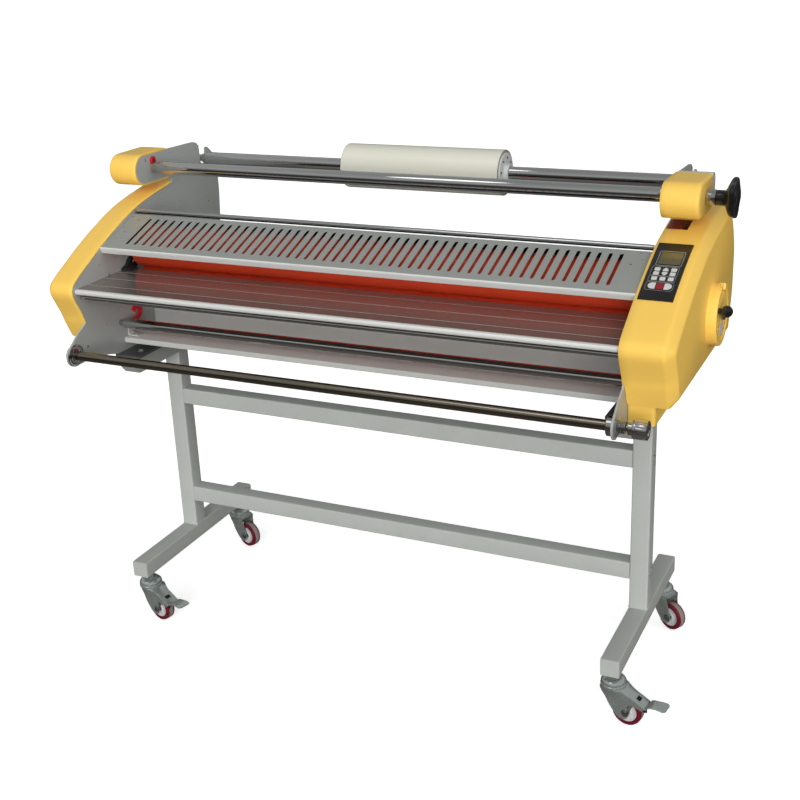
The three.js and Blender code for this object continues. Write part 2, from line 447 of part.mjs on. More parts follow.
// ---------------------------------------------------------------- control panel on the right cover, power inlet on its back
{
  const run = FRONT_EDGE.filter(([y]) => y > -250 && y < -40);
  const off = (d) => run.map((p, i) => {
    const a = run[Math.max(0, i - 1)], b = run[Math.min(run.length - 1, i + 1)], l = Math.hypot(b[0] - a[0], b[1] - a[1]);
    return [p[0] - ((b[1] - a[1]) / l) * d, p[1] + ((b[0] - a[0]) / l) * d];
  });
  node("control_panel", alongX([...off(0.4), ...off(2.6).reverse()], 752.5, 834.5), M.black());
  const at = (t) => off(3)[0].map((c, k) => c + (off(3)[run.length - 1][k] - c) * t);
  const w = off(2.95).filter(([y]) => y > -146 && y < -78), o = off(4).filter(([y]) => y > -146 && y < -78);
  node("lcd_window", alongX([...w, ...o.reverse()], 763, 824), M.glass());
}
{
  const inlet = box(-802, -764, 301.4, 311, 1018, 1086);
  node("power_inlet", cut(inlet, box(-792, -774, 302.6, 320, 1058, 1080), box(-796, -770, 303.4, 320, 1023, 1050)), M.black());
  const r = alongX([[305.4, 1060], [305.4, 1078], [310, 1078], [310.5, 1069], [313, 1060]], -790, -776);
  node("power_rocker", r, M.latch());
}

// ---------------------------------------------------------------- casters
function forkSolid(braked) {
  const sidePlate = [[-31, 102], [-31, 92], [-5, 58], [20, 25], [28, 20], [39, 21], [48, 30], [50, 40], ...(braked
    ? [[46, 56], [55, 67], [86, 59], [93, 65], [92, 68], [28, 102]]
    : [[45, 60], [40, 86], [38, 102]])];
  const plates = [-1, 1].map((s) => {
    const shape = new THREE.Shape(sidePlate.map(([a, b]) => new THREE.Vector2(a, b)));
    const g = new THREE.ExtrudeGeometry(shape, { depth: 2.5, bevelEnabled: false });
    g.rotateX(Math.PI / 2); // profile stands in (x, z), thickness along -y
    g.translate(0, s > 0 ? 21.5 : -19, 0);
    return toSolid(g);
  });
  // crown; with a brake it goes on sloping down over the wheel
  const crownShape = new THREE.Shape((braked
    ? [[-31, 99], [-31, 102], [28, 102], [93, 68], [91.5, 65.5], [27, 99]]
    : [[-31, 99], [-31, 102], [38, 102], [38, 99]]).map(([a, b]) => new THREE.Vector2(a, b)));
  const crown = new THREE.ExtrudeGeometry(crownShape, { depth: 43, bevelEnabled: false });
  crown.rotateX(Math.PI / 2);
  crown.translate(0, 21.5, 0);
  const race = turnZ([[0, 100], [33, 100], [33, 118], [27, 125.6], [0, 125.6]], 0, 0, 20);
  const axle = (() => {
    const g = new THREE.CylinderGeometry(4, 4, 50, 10);
    g.translate(TRAIL, 0, WHEEL_R);
    return toSolid(g);
  })();
  const heads = [-1, 1].map((s) => {
    const g = new THREE.CylinderGeometry(8, 8, 5.5, 6);
    g.translate(TRAIL, s * 24, WHEEL_R);
    return toSolid(g);
  });
  return add(plates[0], plates[1], toSolid(crown), race, axle, ...heads);
}
function wheelSolid() {
  const h = WHEEL_W / 2;
  const n = 24; // a flat of the tyre on the floor
  const g = new THREE.LatheGeometry([
    [4.6, -h], [WHEEL_R - 3, -h], [WHEEL_R, -h + 5], [WHEEL_R, h - 5], [WHEEL_R - 3, h], [4.6, h], [4.6, -h],
  ].map(([r, y]) => new THREE.Vector2(r / Math.cos(Math.PI / n), y)), n);
  g.rotateY(Math.PI / n);
  g.translate(TRAIL, 0, WHEEL_R);
  return toSolid(g);
}
function pedalSolid() {
  const slab = (pts, y0, y1) => {
    const g = new THREE.ExtrudeGeometry(new THREE.Shape(pts.map(([a, b]) => new THREE.Vector2(a, b))), { depth: y1 - y0, bevelEnabled: false });
    g.rotateX(Math.PI / 2);
    g.translate(0, y1, 0);
    return toSolid(g);
  };
  const arm = [[50, 74], [50, 80], [55, 83], [94.5, 62], [95, 68], [99, 71], [99, 58], [90, 57], [56, 72]];
  const tread = [[94.5, 68.5], [94.5, 71.5], [104, 76], [128, 78.5], [147, 77], [147, 74], [128, 75.5], [105, 73], [97, 68.5]];
  return add(slab(arm, 16, 18.4), slab(arm, -18.4, -16), slab(tread, -21.5, 21.5));
}
const forks = { front: forkSolid(true), rear: forkSolid(false) }, wheel = wheelSolid(), pedal = pedalSolid();
for (const [side, s] of [["left", -1], ["right", 1]])
  for (const [end, y] of [["front", CASTER_Y[0]], ["rear", CASTER_Y[1]]]) {
    const x = s * POST_X, tag = end + "_" + side;
    node("caster_stem_" + tag, turnZ([[0, 108], [20, 108], [20, 111.5], [12, 111.5], [12, FOOT_Z0 - GAP], [0, FOOT_Z0 - GAP]], x, y, 14), M.zinc());
    const put = (name, solid, material) => {
      const m = node(name, solid, material);
      m.rotation.z = deg(SWIVEL[tag]);
      m.position.set(x, y, ORIGIN.z);
    };
    put("caster_fork_" + tag, forks[end], M.zinc());
    put("caster_wheel_" + tag, wheel, M.maroon());
    if (end === "front") put("brake_pedal_" + tag, pedal, M.zinc());
  }

// ---------------------------------------------------------------- origin at the bottom centre
root.position.set(-ORIGIN.x, -ORIGIN.y, -ORIGIN.z);
root.name = "cold_roll_laminator";

export default root;
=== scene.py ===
import math
import bpy
import bmesh
from mathutils import Vector, Matrix, noise
from mathutils.geometry import tessellate_polygon


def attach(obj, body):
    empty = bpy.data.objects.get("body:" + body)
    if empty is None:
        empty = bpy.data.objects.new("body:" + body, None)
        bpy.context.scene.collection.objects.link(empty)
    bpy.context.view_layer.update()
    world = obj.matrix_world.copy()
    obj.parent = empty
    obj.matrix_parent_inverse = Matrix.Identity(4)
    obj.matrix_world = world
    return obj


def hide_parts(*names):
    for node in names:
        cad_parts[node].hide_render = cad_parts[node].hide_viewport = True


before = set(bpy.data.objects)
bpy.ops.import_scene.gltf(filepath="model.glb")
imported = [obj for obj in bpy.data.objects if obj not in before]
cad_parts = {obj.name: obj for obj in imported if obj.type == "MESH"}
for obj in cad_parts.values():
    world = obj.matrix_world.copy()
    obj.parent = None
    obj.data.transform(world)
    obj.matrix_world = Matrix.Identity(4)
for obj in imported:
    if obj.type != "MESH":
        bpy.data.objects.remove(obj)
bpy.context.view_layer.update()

# Working frame, millimetres: X = 0 midway between the stand posts, Y = 0 on the post fronts,
# -Y towards the operator, Z = -18 on the floor. P() gives the row frame in metres.
OX, OY, OZ = 43.75, -18.0, -18.0


def P(x, y, z):
    return ((x - OX) / 1000.0, (y - OY) / 1000.0, (z - OZ) / 1000.0)


# ---------------------------------------------------------------- driving dimensions (as the CAD)
POST_X, TUBE = 714, 50
FOOT_Z = (130, 178); FOOT_Y = (-268, 321)
ARM_Z = (750, 800)
PLATE_IN, PLATE_T = 745.5, 5
ROLL_Y, ROLL_R, LOW_Z, UP_Z = -65, 60, 971.8, 1092.2
CAM_Y, CAM_Z = 30, 1010
BALL = (913, -27, 1037)
HEAD_Y, HEAD_Z, HEAD_R, HEAD_BACK = 10, 1289, 44, 120
FS = (50, 1290)        # front supply shaft axis
RS = (305, 1270)       # rear supply shaft axis
TAKE = (-384, 862)
COVER_R = (745.3, 850, 868)
COVER_L = (745.3, 821, 840)
FRONT_EDGE = [
    (-300, 883), (-322, 930), (-332, 956), (-351, 993), (-361, 1013), (-364.5, 1028), (-361, 1043), (-348, 1056.5),
    (-310, 1079), (-276, 1097), (-243, 1115), (-210, 1131.5), (-176, 1147.5), (-142, 1162), (-112, 1174.5), (-80, 1186.5),
    (-50, 1196), (-20, 1204), (22, 1213), (64, 1221), (138, 1232),
]
COVER = FRONT_EDGE + [(196, 1239), (232, 1229), (262, 1200), (285, 1157), (301, 1104), (301, 1000), (267, 883)]

rad = math.radians


# ---------------------------------------------------------------- 2-D helpers
def arc(y, z, r, a, b, n):
    return [(y + r * math.cos(rad(a + (b - a) * i / n)), z + r * math.sin(rad(a + (b - a) * i / n))) for i in range(n + 1)]


def circle(y, z, r, n=24, a0=0.0):
    return [(y + r * math.cos(a0 + i * 2 * math.pi / n), z + r * math.sin(a0 + i * 2 * math.pi / n)) for i in range(n)]


def area2(o):
    return sum(o[i][0] * o[(i + 1) % len(o)][1] - o[(i + 1) % len(o)][0] * o[i][1] for i in range(len(o))) / 2


def inset(o, d):
    n, s, out = len(o), (1 if area2(o) > 0 else -1), []
    for i in range(n):
        p, a, b = o[i], o[i - 1], o[(i + 1) % n]
        u = (p[0] - a[0], p[1] - a[1]); v = (b[0] - p[0], b[1] - p[1])
        lu = math.hypot(*u) or 1e-9; lv = math.hypot(*v) or 1e-9
        nu = (-u[1] / lu * s, u[0] / lu * s); nv = (-v[1] / lv * s, v[0] / lv * s)
        k = max(0.35, 1 + nu[0] * nv[0] + nu[1] * nv[1])
        out.append((p[0] + (nu[0] + nv[0]) * d / k, p[1] + (nu[1] + nv[1]) * d / k))
    return out


def rrect(a0, a1, b0, b1, r, n=5):
    """rounded rectangle, anticlockwise"""
    pts = []
    for ca, cb, s in ((a1 - r, b0 + r, 270), (a1 - r, b1 - r, 0), (a0 + r, b1 - r, 90), (a0 + r, b0 + r, 180)):
        pts += arc(ca, cb, r, s, s + 90, n)
    return pts


def smooth(pts, k, closed=True, corners=()):
    """Catmull-Rom through pts, k pieces a segment; corners stay sharp"""
    n, out = len(pts), []
    last = n if closed else n - 1
    for i in range(last):
        p1, p2 = pts[i], pts[(i + 1) % n]
        p0 = pts[i - 1] if (closed or i > 0) else None
        p3 = pts[(i + 2) % n] if (closed or i + 2 < n) else None
        if p0 is None or i in corners:
            p0 = tuple(2 * a - b for a, b in zip(p1, p2))
        if p3 is None or (i + 1) % n in corners:
            p3 = tuple(2 * a - b for a, b in zip(p2, p1))
        for j in range(k):
            t = j / k
            out.append(tuple(0.5 * (2 * b + (c - a) * t + (2 * a - 5 * b + 4 * c - d) * t * t + (3 * b - a - 3 * c + d) * t ** 3)
                             for a, b, c, d in zip(p0, p1, p2, p3)))
    if not closed:
        out.append(tuple(pts[-1]))
    return out


def round_corners(o, r, n=4, only=None):
    """each corner (or those in only) of a closed outline turned into a small arc-like curve"""
    out = []
    for i, p in enumerate(o):
        if only is not None and i not in only:
            out.append(p); continue
        a, b = o[i - 1], o[(i + 1) % len(o)]
        la, lb = math.hypot(a[0] - p[0], a[1] - p[1]), math.hypot(b[0] - p[0], b[1] - p[1])
        d = min(r, la * .45, lb * .45)
        s = (p[0] + (a[0] - p[0]) * d / la, p[1] + (a[1] - p[1]) * d / la)
        e = (p[0] + (b[0] - p[0]) * d / lb, p[1] + (b[1] - p[1]) * d / lb)
        for j in range(n + 1):
            t = j / n
            out.append(tuple((1 - t) ** 2 * s[k] + 2 * t * (1 - t) * p[k] + t * t * e[k] for k in (0, 1)))
    return out


# ---------------------------------------------------------------- mesh helpers: each gives (verts, faces)
AX = {"x": lambda a, b, t: (t, a, b), "y": lambda a, b, t: (a, t, b), "z": lambda a, b, t: (a, b, t)}


def extrude(outline, t0, t1, axis="x", holes=()):
    """closed outline pushed along an axis: x takes (Y, Z), y takes (X, Z), z takes (X, Y)"""
    put = AX[axis]
    loops = [list(outline)] + [list(h) for h in holes]
    flat = [p for l in loops for p in l]
    n = len(flat)
    v = [put(a, b, t0) for a, b in flat] + [put(a, b, t1) for a, b in flat]
    f, off = [], 0
    for l in loops:
        m = len(l)
        for i in range(m):
            a, b = off + i, off + (i + 1) % m
            f.append([a, b, b + n, a + n])
        off += m
    if holes:
        tri = tessellate_polygon([[Vector((a, b, 0)) for a, b in l] for l in loops])
        f += [list(t) for t in tri] + [[i + n for i in reversed(t)] for t in tri]
    else:
        f += [list(range(n)), list(reversed(range(n, 2 * n)))]
    return v, f


def lathe(profile, centre, n=48, axis="x", a0=0.0):
    """[(radius, t)] turned about an axis through centre; a profile may close on itself"""
    put = AX[axis]
    closed = profile[0] == profile[-1]
    prof = profile[:-1] if closed else profile
    v, rows = [], []
    for r, t in prof:
        if r < 1e-6:
            rows.append([len(v)] * n); v.append(put(centre[0], centre[1], t))
        else:
            rows.append(list(range(len(v), len(v) + n)))
            v += [put(centre[0] + r * math.cos(a0 + 2 * math.pi * i / n), centre[1] + r * math.sin(a0 + 2 * math.pi * i / n), t) for i in range(n)]
    f = []
    m = len(rows)
    for k in range(m if closed else m - 1):
        a, b = rows[k], rows[(k + 1) % m]
        for i in range(n):
            q = [a[i], a[(i + 1) % n], b[(i + 1) % n], b[i]]
            q = [x for j, x in enumerate(q) if x not in q[:j]]
            if len(q) > 2:
                f.append(q)
    return v, f


def rows_to_mesh(rows, close=True, cap=(True, True)):
    """rows of equal-length 3-D loops joined up"""
    n = len(rows[0])
    v = [p for r in rows for p in r]
    f = []
    for k in range(len(rows) - 1):
        for i in range(n if close else n - 1):
            a, b = k * n + i, k * n + (i + 1) % n
            f.append([a, b, b + n, a + n])
    if cap[0]:
        f.append(list(range(n)))
    if cap[1]:
        f.append(list(reversed(range((len(rows) - 1) * n, len(rows) * n))))
    return v, f


def tube(points, r, n=12, cap=True, closed=False):
    pts = [Vector(p) for p in points]
    m = len(pts)
    tang = []
    for i in range(m):
        if closed:
            d = pts[(i + 1) % m] - pts[i - 1]
        else:
            d = pts[min(i + 1, m - 1)] - pts[max(i - 1, 0)]
        tang.append(d.normalized())
    up = Vector((0, 0, 1)) if abs(tang[0].z) < .9 else Vector((1, 0, 0))
    u = tang[0].cross(up).normalized()
    rows = []
    for i in range(m):
        u = (u - tang[i] * u.dot(tang[i])).normalized()
        w = tang[i].cross(u)
        rr = r[i] if isinstance(r, (list, tuple)) else r
        rows.append([tuple(pts[i] + (u * math.cos(2 * math.pi * k / n) + w * math.sin(2 * math.pi * k / n)) * rr) for k in range(n)])
    if closed:
        v, f = rows_to_mesh(rows, True, (False, False))
        a = (m - 1) * n
        for k in range(n):
            f.append([a + k, a + (k + 1) % n, (k + 1) % n, k])
        return v, f
    return rows_to_mesh(rows, True, (cap, cap))


def block(x0, x1, y0, y1, z0, z1):
    v = [(x, y, z) for x in (x0, x1) for y in (y0, y1) for z in (z0, z1)]
    return v, [[0, 1, 3, 2], [4, 6, 7, 5], [0, 4, 5, 1], [2, 3, 7, 6], [0, 2, 6, 4], [1, 5, 7, 3]]


def moved(g, fn):
    return [fn(*p) for p in g[0]], g[1]


def hexbolt(c, r, h, axis="x", sgn=1, wash=1.55):
    """hexagon head on a washer, base at c pointing sgn along the axis"""
    put = {"x": lambda a, b, t: (c[0] + sgn * t, c[1] + a, c[2] + b), "y": lambda a, b, t: (c[0] + a, c[1] + sgn * t, c[2] + b),
           "z": lambda a, b, t: (c[0] + a, c[1] + b, c[2] + sgn * t)}[axis]
    out = []
    w = h * .22
    rows = []
    for rr, t in ((r * wash * .55, 0), (r * wash, 0), (r * wash, w * .7), (r * wash * .94, w), (r * .9, w)):
        rows.append([put(rr * math.cos(2 * math.pi * i / 24), rr * math.sin(2 * math.pi * i / 24), t) for i in range(24)])
    out.append(rows_to_mesh(rows))
    rows = []
    for rr, t in ((r, w), (r, h * .86), (r * .9, h)):
        rows.append([put(rr * math.cos(math.pi / 3 * i + .2), rr * math.sin(math.pi / 3 * i + .2), t) for i in range(6)])
    out.append(rows_to_mesh(rows))
    return out


def pan(c, r, h, axis="x", sgn=1, n=20):
    """round-head screw with a socket"""
    put = {"x": lambda a, b, t: (c[0] + sgn * t, c[1] + a, c[2] + b), "y": lambda a, b, t: (c[0] + a, c[1] + sgn * t, c[2] + b),
           "z": lambda a, b, t: (c[0] + a, c[1] + b, c[2] + sgn * t)}[axis]
    rows = []
    for rr, t in ((r, -.15), (r, h * .35), (r * .93, h * .65), (r * .75, h * .88), (r * .5, h), (r * .44, h * .95), (r * .4, h * .4), (r * .05, h * .35)):
        rows.append([put(rr * math.cos(2 * math.pi * i / n), rr * math.sin(2 * math.pi * i / n), t) for i in range(n)])
    return rows_to_mesh(rows)


# ---------------------------------------------------------------- procedural materials
def lin(r, g, b):
    f = lambda c: c / 12.92 if c <= .04045 else ((c + .055) / 1.055) ** 2.4
    return (f(r / 255), f(g / 255), f(b / 255), 1)


def scaled(c, k):
    return (min(1, c[0] * k), min(1, c[1] * k), min(1, c[2] * k), 1)


def material(name, col, rough=.45, metal=0.0, var=.05, var_scale=7.0, grain=900.0, bump=.05, rough_var=.06, stretch=(1, 1, 1),
             second=None, second_amt=0.0, edge=0.0, spec=.5, coat=0.0, coat_rough=.15, bump_dist=.0002, grime=0.0):
    m = bpy.data.materials.new(name)
    m.use_nodes = True
    m.diffuse_color = col
    nt = m.node_tree
    nd, ln = nt.nodes, nt.links
    bs = nd["Principled BSDF"]
    bs.inputs["Metallic"].default_value = metal
    bs.inputs["Specular IOR Level"].default_value = spec
    bs.inputs["Coat Weight"].default_value = coat
    bs.inputs["Coat Roughness"].default_value = coat_rough
    tc = nd.new("ShaderNodeTexCoord")
    mp = nd.new("ShaderNodeMapping"); mp.inputs["Scale"].default_value = stretch
    ln.new(tc.outputs["Object"], mp.inputs["Vector"])

    def nz(scale, detail=3.0, rgh=.55):
        n = nd.new("ShaderNodeTexNoise")
        n.inputs["Scale"].default_value = scale
        n.inputs["Detail"].default_value = detail
        n.inputs["Roughness"].default_value = rgh
        ln.new(mp.outputs["Vector"], n.inputs["Vector"])
        return n

    big, fine = nz(var_scale, 4), nz(grain, 2)
    ramp = nd.new("ShaderNodeValToRGB")
    ramp.color_ramp.elements[0].position, ramp.color_ramp.elements[1].position = .3, .7
    ramp.color_ramp.elements[0].color = scaled(col, 1 - var)
    ramp.color_ramp.elements[1].color = scaled(col, 1 + var)
    ln.new(big.outputs["Fac"], ramp.inputs["Fac"])
    colour = ramp.outputs["Color"]
    # fine mottling between the paint's or metal's grains
    mot = nd.new("ShaderNodeMix"); mot.data_type = "RGBA"; mot.blend_type = "MIX"
    mr = nd.new("ShaderNodeMapRange")
    mr.inputs["From Min"].default_value, mr.inputs["From Max"].default_value = .35, .65
    mr.inputs["To Min"].default_value, mr.inputs["To Max"].default_value = 0, (second_amt if second else .35 * var * 4)
    ln.new(fine.outputs["Fac"], mr.inputs["Value"])
    ln.new(mr.outputs["Result"], mot.inputs["Factor"])
    ln.new(colour, mot.inputs["A"])
    mot.inputs["B"].default_value = second or scaled(col, 1 - 1.6 * var)
    colour = mot.outputs["Result"]
    if grime:
        g = nz(3.1, 6, .65)
        gr = nd.new("ShaderNodeMapRange")
        gr.inputs["From Min"].default_value, gr.inputs["From Max"].default_value = .52, .78
        gr.inputs["To Max"].default_value = grime
        ln.new(g.outputs["Fac"], gr.inputs["Value"])
        mx = nd.new("ShaderNodeMix"); mx.data_type = "RGBA"
        ln.new(gr.outputs["Result"], mx.inputs["Factor"])
        ln.new(colour, mx.inputs["A"])
        mx.inputs["B"].default_value = scaled(col, .72)
        colour = mx.outputs["Result"]
    if edge:
        geo = nd.new("ShaderNodeNewGeometry")
        er = nd.new("ShaderNodeMapRange")
        er.inputs["From Min"].default_value, er.inputs["From Max"].default_value = .53, .60
        er.inputs["To Max"].default_value = edge
        ln.new(geo.outputs["Pointiness"], er.inputs["Value"])
        mx = nd.new("ShaderNodeMix"); mx.data_type = "RGBA"
        ln.new(er.outputs["Result"], mx.inputs["Factor"])
        ln.new(colour, mx.inputs["A"])
        mx.inputs["B"].default_value = scaled(col, 1.35)
        colour = mx.outputs["Result"]
    ln.new(colour, bs.inputs["Base Color"])
    rr = nd.new("ShaderNodeMapRange")
    rr.inputs["From Min"].default_value, rr.inputs["From Max"].default_value = .3, .7
    rr.inputs["To Min"].default_value, rr.inputs["To Max"].default_value = max(.02, rough - rough_var), min(1, rough + rough_var)
    ln.new(big.outputs["Fac"], rr.inputs["Value"])
    ln.new(rr.outputs["Result"], bs.inputs["Roughness"])
    bp = nd.new("ShaderNodeBump")
    bp.inputs["Strength"].default_value, bp.inputs["Distance"].default_value = bump, bump_dist
    ln.new(fine.outputs["Fac"], bp.inputs["Height"])
    ln.new(bp.outputs["Normal"], bs.inputs["Normal"])
    return m


MAT = {
    "grey": material("paint_grey", lin(176, 179, 175), .42, 0, var=.035, bump=.35, grain=1400, edge=.25, grime=.10),
    "plate": material("paint_plate", lin(172, 175, 172), .36, .15, var=.05, bump=.3, grain=1300, edge=.3, grime=.12),
    "guard": material("paint_guard", lin(160, 163, 159), .34, .25, var=.04, bump=.25, grain=1500, edge=.3),
    "light": material("paint_light", lin(196, 198, 194), .38, 0, var=.03, bump=.3, grain=1400, edge=.2, grime=.08),
    "table": material("table_coat", lin(150, 144, 138), .13, .55, var=.05, bump=.12, grain=500, stretch=(.05, 1, 1), rough_var=.04),
    "lip": material("table_lip", lin(224, 224, 221), .28, .25, var=.03, bump=.1, grain=700, stretch=(.05, 1, 1)),
    "pad": material("pad_dark", lin(96, 98, 98), .4, .3, var=.08, bump=.3, grain=1100, edge=.3),
    "yellow": material("yellow_moulding", lin(248, 203, 96), .40, 0, var=.025, var_scale=5, bump=.35, grain=1700, rough_var=.05, edge=.12),
    # the same yellow moulding made darker for the shell's inside faces: painted shade
    "yellow_in": material("yellow_inside", lin(226, 176, 80), .6, 0, var=.05, bump=.4, grain=900),
    "silicone": material("silicone_red", lin(206, 66, 38), .36, 0, var=.05, var_scale=9, bump=.25, grain=1200, rough_var=.08, spec=.45),
    "steel": material("turned_steel", lin(196, 196, 195), .26, 1, var=.05, grain=420, bump=.22, stretch=(1, .05, .05), rough_var=.08),
    "darksteel": material("dark_steel", lin(120, 118, 114), .32, 1, var=.10, grain=420, bump=.2, stretch=(1, .05, .05)),
    "bar": material("takeup_polish", lin(150, 143, 130), .20, 1, var=.08, grain=300, bump=.15, stretch=(1, .04, .04), rough_var=.06),
    "chrome": material("chrome_shaft", lin(214, 214, 216), .07, 1, var=.03, grain=260, bump=.05, stretch=(1, .03, .03), rough_var=.025),
    "alu": material("aluminium_knurl", lin(212, 212, 212), .24, 1, var=.05, grain=900, bump=.2),
    "black": material("black_moulding", lin(22, 22, 24), .22, 0, var=.12, grain=1500, bump=.12, rough_var=.06, coat=.3),
    "blackmat": material("black_matt", lin(32, 32, 33), .55, 0, var=.12, grain=900, bump=.4),
    "panel": material("panel_film", lin(20, 18, 20), .30, 0, var=.10, grain=2200, bump=.15, coat=.25, coat_rough=.25),
    "key": material("key_grey", lin(206, 206, 204), .42, 0, var=.03, grain=1700, bump=.2),
    "keyred": material("key_red", lin(150, 28, 36), .38, 0, var=.06, grain=1700, bump=.2),
    "line": material("panel_line", lin(176, 176, 176), .5, 0, var=.03, grain=1500, bump=.1),
    "lcd": material("lcd_screen", lin(92, 86, 54), .12, 0, var=.16, var_scale=22, grain=2600, bump=.05, coat=.6, coat_rough=.05),
    "film": material("film_cream", lin(214, 213, 200), .30, 0, var=.02, var_scale=4, grain=700, bump=.10, stretch=(.06, 1, 1), coat=.2),
    "filmend": material("film_end", lin(150, 144, 132), .6, 0, var=.12, var_scale=60, grain=1400, bump=.6),
    "card": material("core_card", lin(150, 116, 80), .8, 0, var=.1, grain=900, bump=.6),
    "zinc": material("zinc_plate", lin(204, 212, 210), .26, .78, var=.09, var_scale=22, grain=700, bump=.3, rough_var=.12, second=lin(168, 182, 180), second_amt=.35),
    "latch": material("latch_red", lin(190, 14, 30), .34, 0, var=.06, grain=1500, bump=.2, coat=.2),
    "tyre": material("tyre_maroon", lin(104, 20, 40), .26, 0, var=.08, grain=1200, bump=.15, rough_var=.08, coat=.25),
    "tread": material("tyre_tread", lin(140, 128, 122), .6, 0, var=.12, var_scale=40, grain=900, bump=.6, grime=.3),
    "hub": material("hub_grey", lin(200, 202, 202), .4, 0, var=.05, grain=900, bump=.3),
    "badge": material("badge_dark_red", lin(104, 24, 28), .35, 0, var=.08, grain=1800, bump=.15, coat=.2),
    "patch": material("dial_patch", lin(196, 192, 204), .4, 0, var=.04, grain=1300, bump=.2),
    # near-black for holes, grooves, vents and windows: painted shade inside openings
    "hole": material("hole_dark", lin(26, 25, 25), .7, 0, var=.2, grain=700, bump=.3),
    "motor": material("motor_black", lin(44, 45, 48), .45, .2, var=.12, grain=900, bump=.4),
    "brass": material("pin_brass", lin(196, 164, 96), .3, 1, var=.06, grain=900, bump=.2),
}


# ---------------------------------------------------------------- piece builder
def piece(name, parts, body="frame", replaces=(), bevel=0.0, seg=2, sharp=32, xf=None, solid=0.0, subsurf=0, weld=1e-6):
    """parts: [(geometry or list of geometries, material key)] in working millimetres"""
    keys, verts, faces, mats = [], [], [], []
    for geo, key in parts:
        if key not in keys:
            keys.append(key)
        mi = keys.index(key)
        for v, f in (geo if isinstance(geo, list) else [geo]):
            off = len(verts)
            verts += [P(*(xf(*p) if xf else p)) for p in v]
            faces += [[i + off for i in q] for q in f]
            mats += [mi] * len(f)
    me = bpy.data.meshes.new(name)
    me.from_pydata(verts, [], faces)
    for k in keys:
        me.materials.append(MAT[k])
    me.polygons.foreach_set("material_index", mats)
    bm = bmesh.new()
    bm.from_mesh(me)
    if weld:
        bmesh.ops.remove_doubles(bm, verts=bm.verts, dist=weld)
    bmesh.ops.recalc_face_normals(bm, faces=bm.faces)
    bm.to_mesh(me)
    bm.free()
    me.shade_smooth()
    me.set_sharp_from_angle(angle=rad(sharp))
    me.update()
    o = bpy.data.objects.new(name, me)
    bpy.context.scene.collection.objects.link(o)
    if solid:
        s = o.modifiers.new("wall", "SOLIDIFY")
        s.thickness, s.offset, s.use_even_offset = solid / 1000, -1, True
    if bevel:
        b = o.modifiers.new("edges", "BEVEL")
        b.width, b.segments, b.limit_method, b.angle_limit = bevel / 1000, seg, "ANGLE", rad(sharp)
        b.harden_normals = True
        b.use_clamp_overlap = True
    if subsurf:
        s = o.modifiers.new("fine", "SUBSURF")
        s.levels = s.render_levels = subsurf
    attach(o, body)
    if replaces:
        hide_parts(*([replaces] if isinstance(replaces, str) else replaces))
    return o


def both(fn):
    for side, s in (("left", -1), ("right", 1)):
        fn(side, s)


# ---------------------------------------------------------------- stand
def stand_side(side, s):
    xa, xb = sorted((s * (POST_X - 25), s * (POST_X + 25)))
    piece("post_" + side, [(extrude(rrect(xa, xb, 0, 50, 4), FOOT_Z[1] + .3, ARM_Z[0] - .3, "z"), "grey")], replaces="stand_post_" + side, bevel=.5)
    foot = rrect(xa, xb, FOOT_Z[0], FOOT_Z[1], 4)
    piece("foot_" + side, [
        (extrude(foot, FOOT_Y[0] + 3.0, FOOT_Y[1] - 3.0, "y"), "grey"),
        # welded end plates
        (extrude(inset(foot, .6), FOOT_Y[0], FOOT_Y[0] + 3.6, "y"), "grey"),
        (extrude(inset(foot, .6), FOOT_Y[1] - 3.6, FOOT_Y[1], "y"), "grey"),
    ], replaces="stand_foot_" + side, bevel=.7, seg=3)
    arm = round_corners([(-190, ARM_Z[0]), (-235, ARM_Z[1]), (262, ARM_Z[1]), (217, ARM_Z[0])], 3)
    piece("arm_" + side, [(extrude(arm, xa, xb), "grey")], replaces="stand_arm_" + side, bevel=3, seg=3)
    pa, pb = sorted((s * 672, s * 756))
    bolts = []
    for y in (-159, 190):
        bolts += hexbolt((s * 700, y, 806), 6.5, 5.6, "z", 1)
    piece("mount_pad_" + side, [(extrude(rrect(pa, pb, -208, 235, 6), 800, 806, "z"), "pad"), (bolts, "zinc")], bevel=.8)
    # weld fillets where the post meets foot and arm
    welds = []
    for z, r in ((FOOT_Z[1] + .6, 2.2), (ARM_Z[0] - .6, 2.0)):
        loop = rrect(xa, xb, 0, 50, 4, 6)
        path = []
        for i in range(len(loop)):
            a, b = loop[i], loop[(i + 1) % len(loop)]
            k = max(1, int(math.hypot(b[0] - a[0], b[1] - a[1]) / 3.2))
            path += [(a[0] + (b[0] - a[0]) * j / k, a[1] + (b[1] - a[1]) * j / k, z) for j in range(k)]
        rs = [r * (.85 + .3 * noise.noise(Vector((p[0] * .31, p[1] * .31, z)))) for p in path]
        welds.append(tube(path, rs, 8, closed=True))
    piece("post_welds_" + side, [(welds, "grey")])
    # beam bolts through the post
    bolts = []
    for z in (598, 622, 274, 298):
        bolts += hexbolt((s * (POST_X + 25), 25, z), 4.6, 4.2, "x", s, 1.5)
    piece("beam_bolts_" + side, [(bolts, "zinc")], bevel=.2, seg=1)


both(stand_side)
bx = POST_X - 25 - .3
for nm, (z0, z1) in (("upper", (585, 634)), ("lower", (261, 310))):
    piece("beam_" + nm, [
        (extrude(rrect(1, 49, z0, z1, 4), -bx + 2, bx - 2), "grey"),
        ([extrude(rrect(1.6, 48.4, z0 + .6, z1 - .6, 3.6), -bx, -bx + 2.4), extrude(rrect(1.6, 48.4, z0 + .6, z1 - .6, 3.6), bx - 2.4, bx)], "grey"),
    ], replaces="stand_beam_" + nm, bevel=.5)

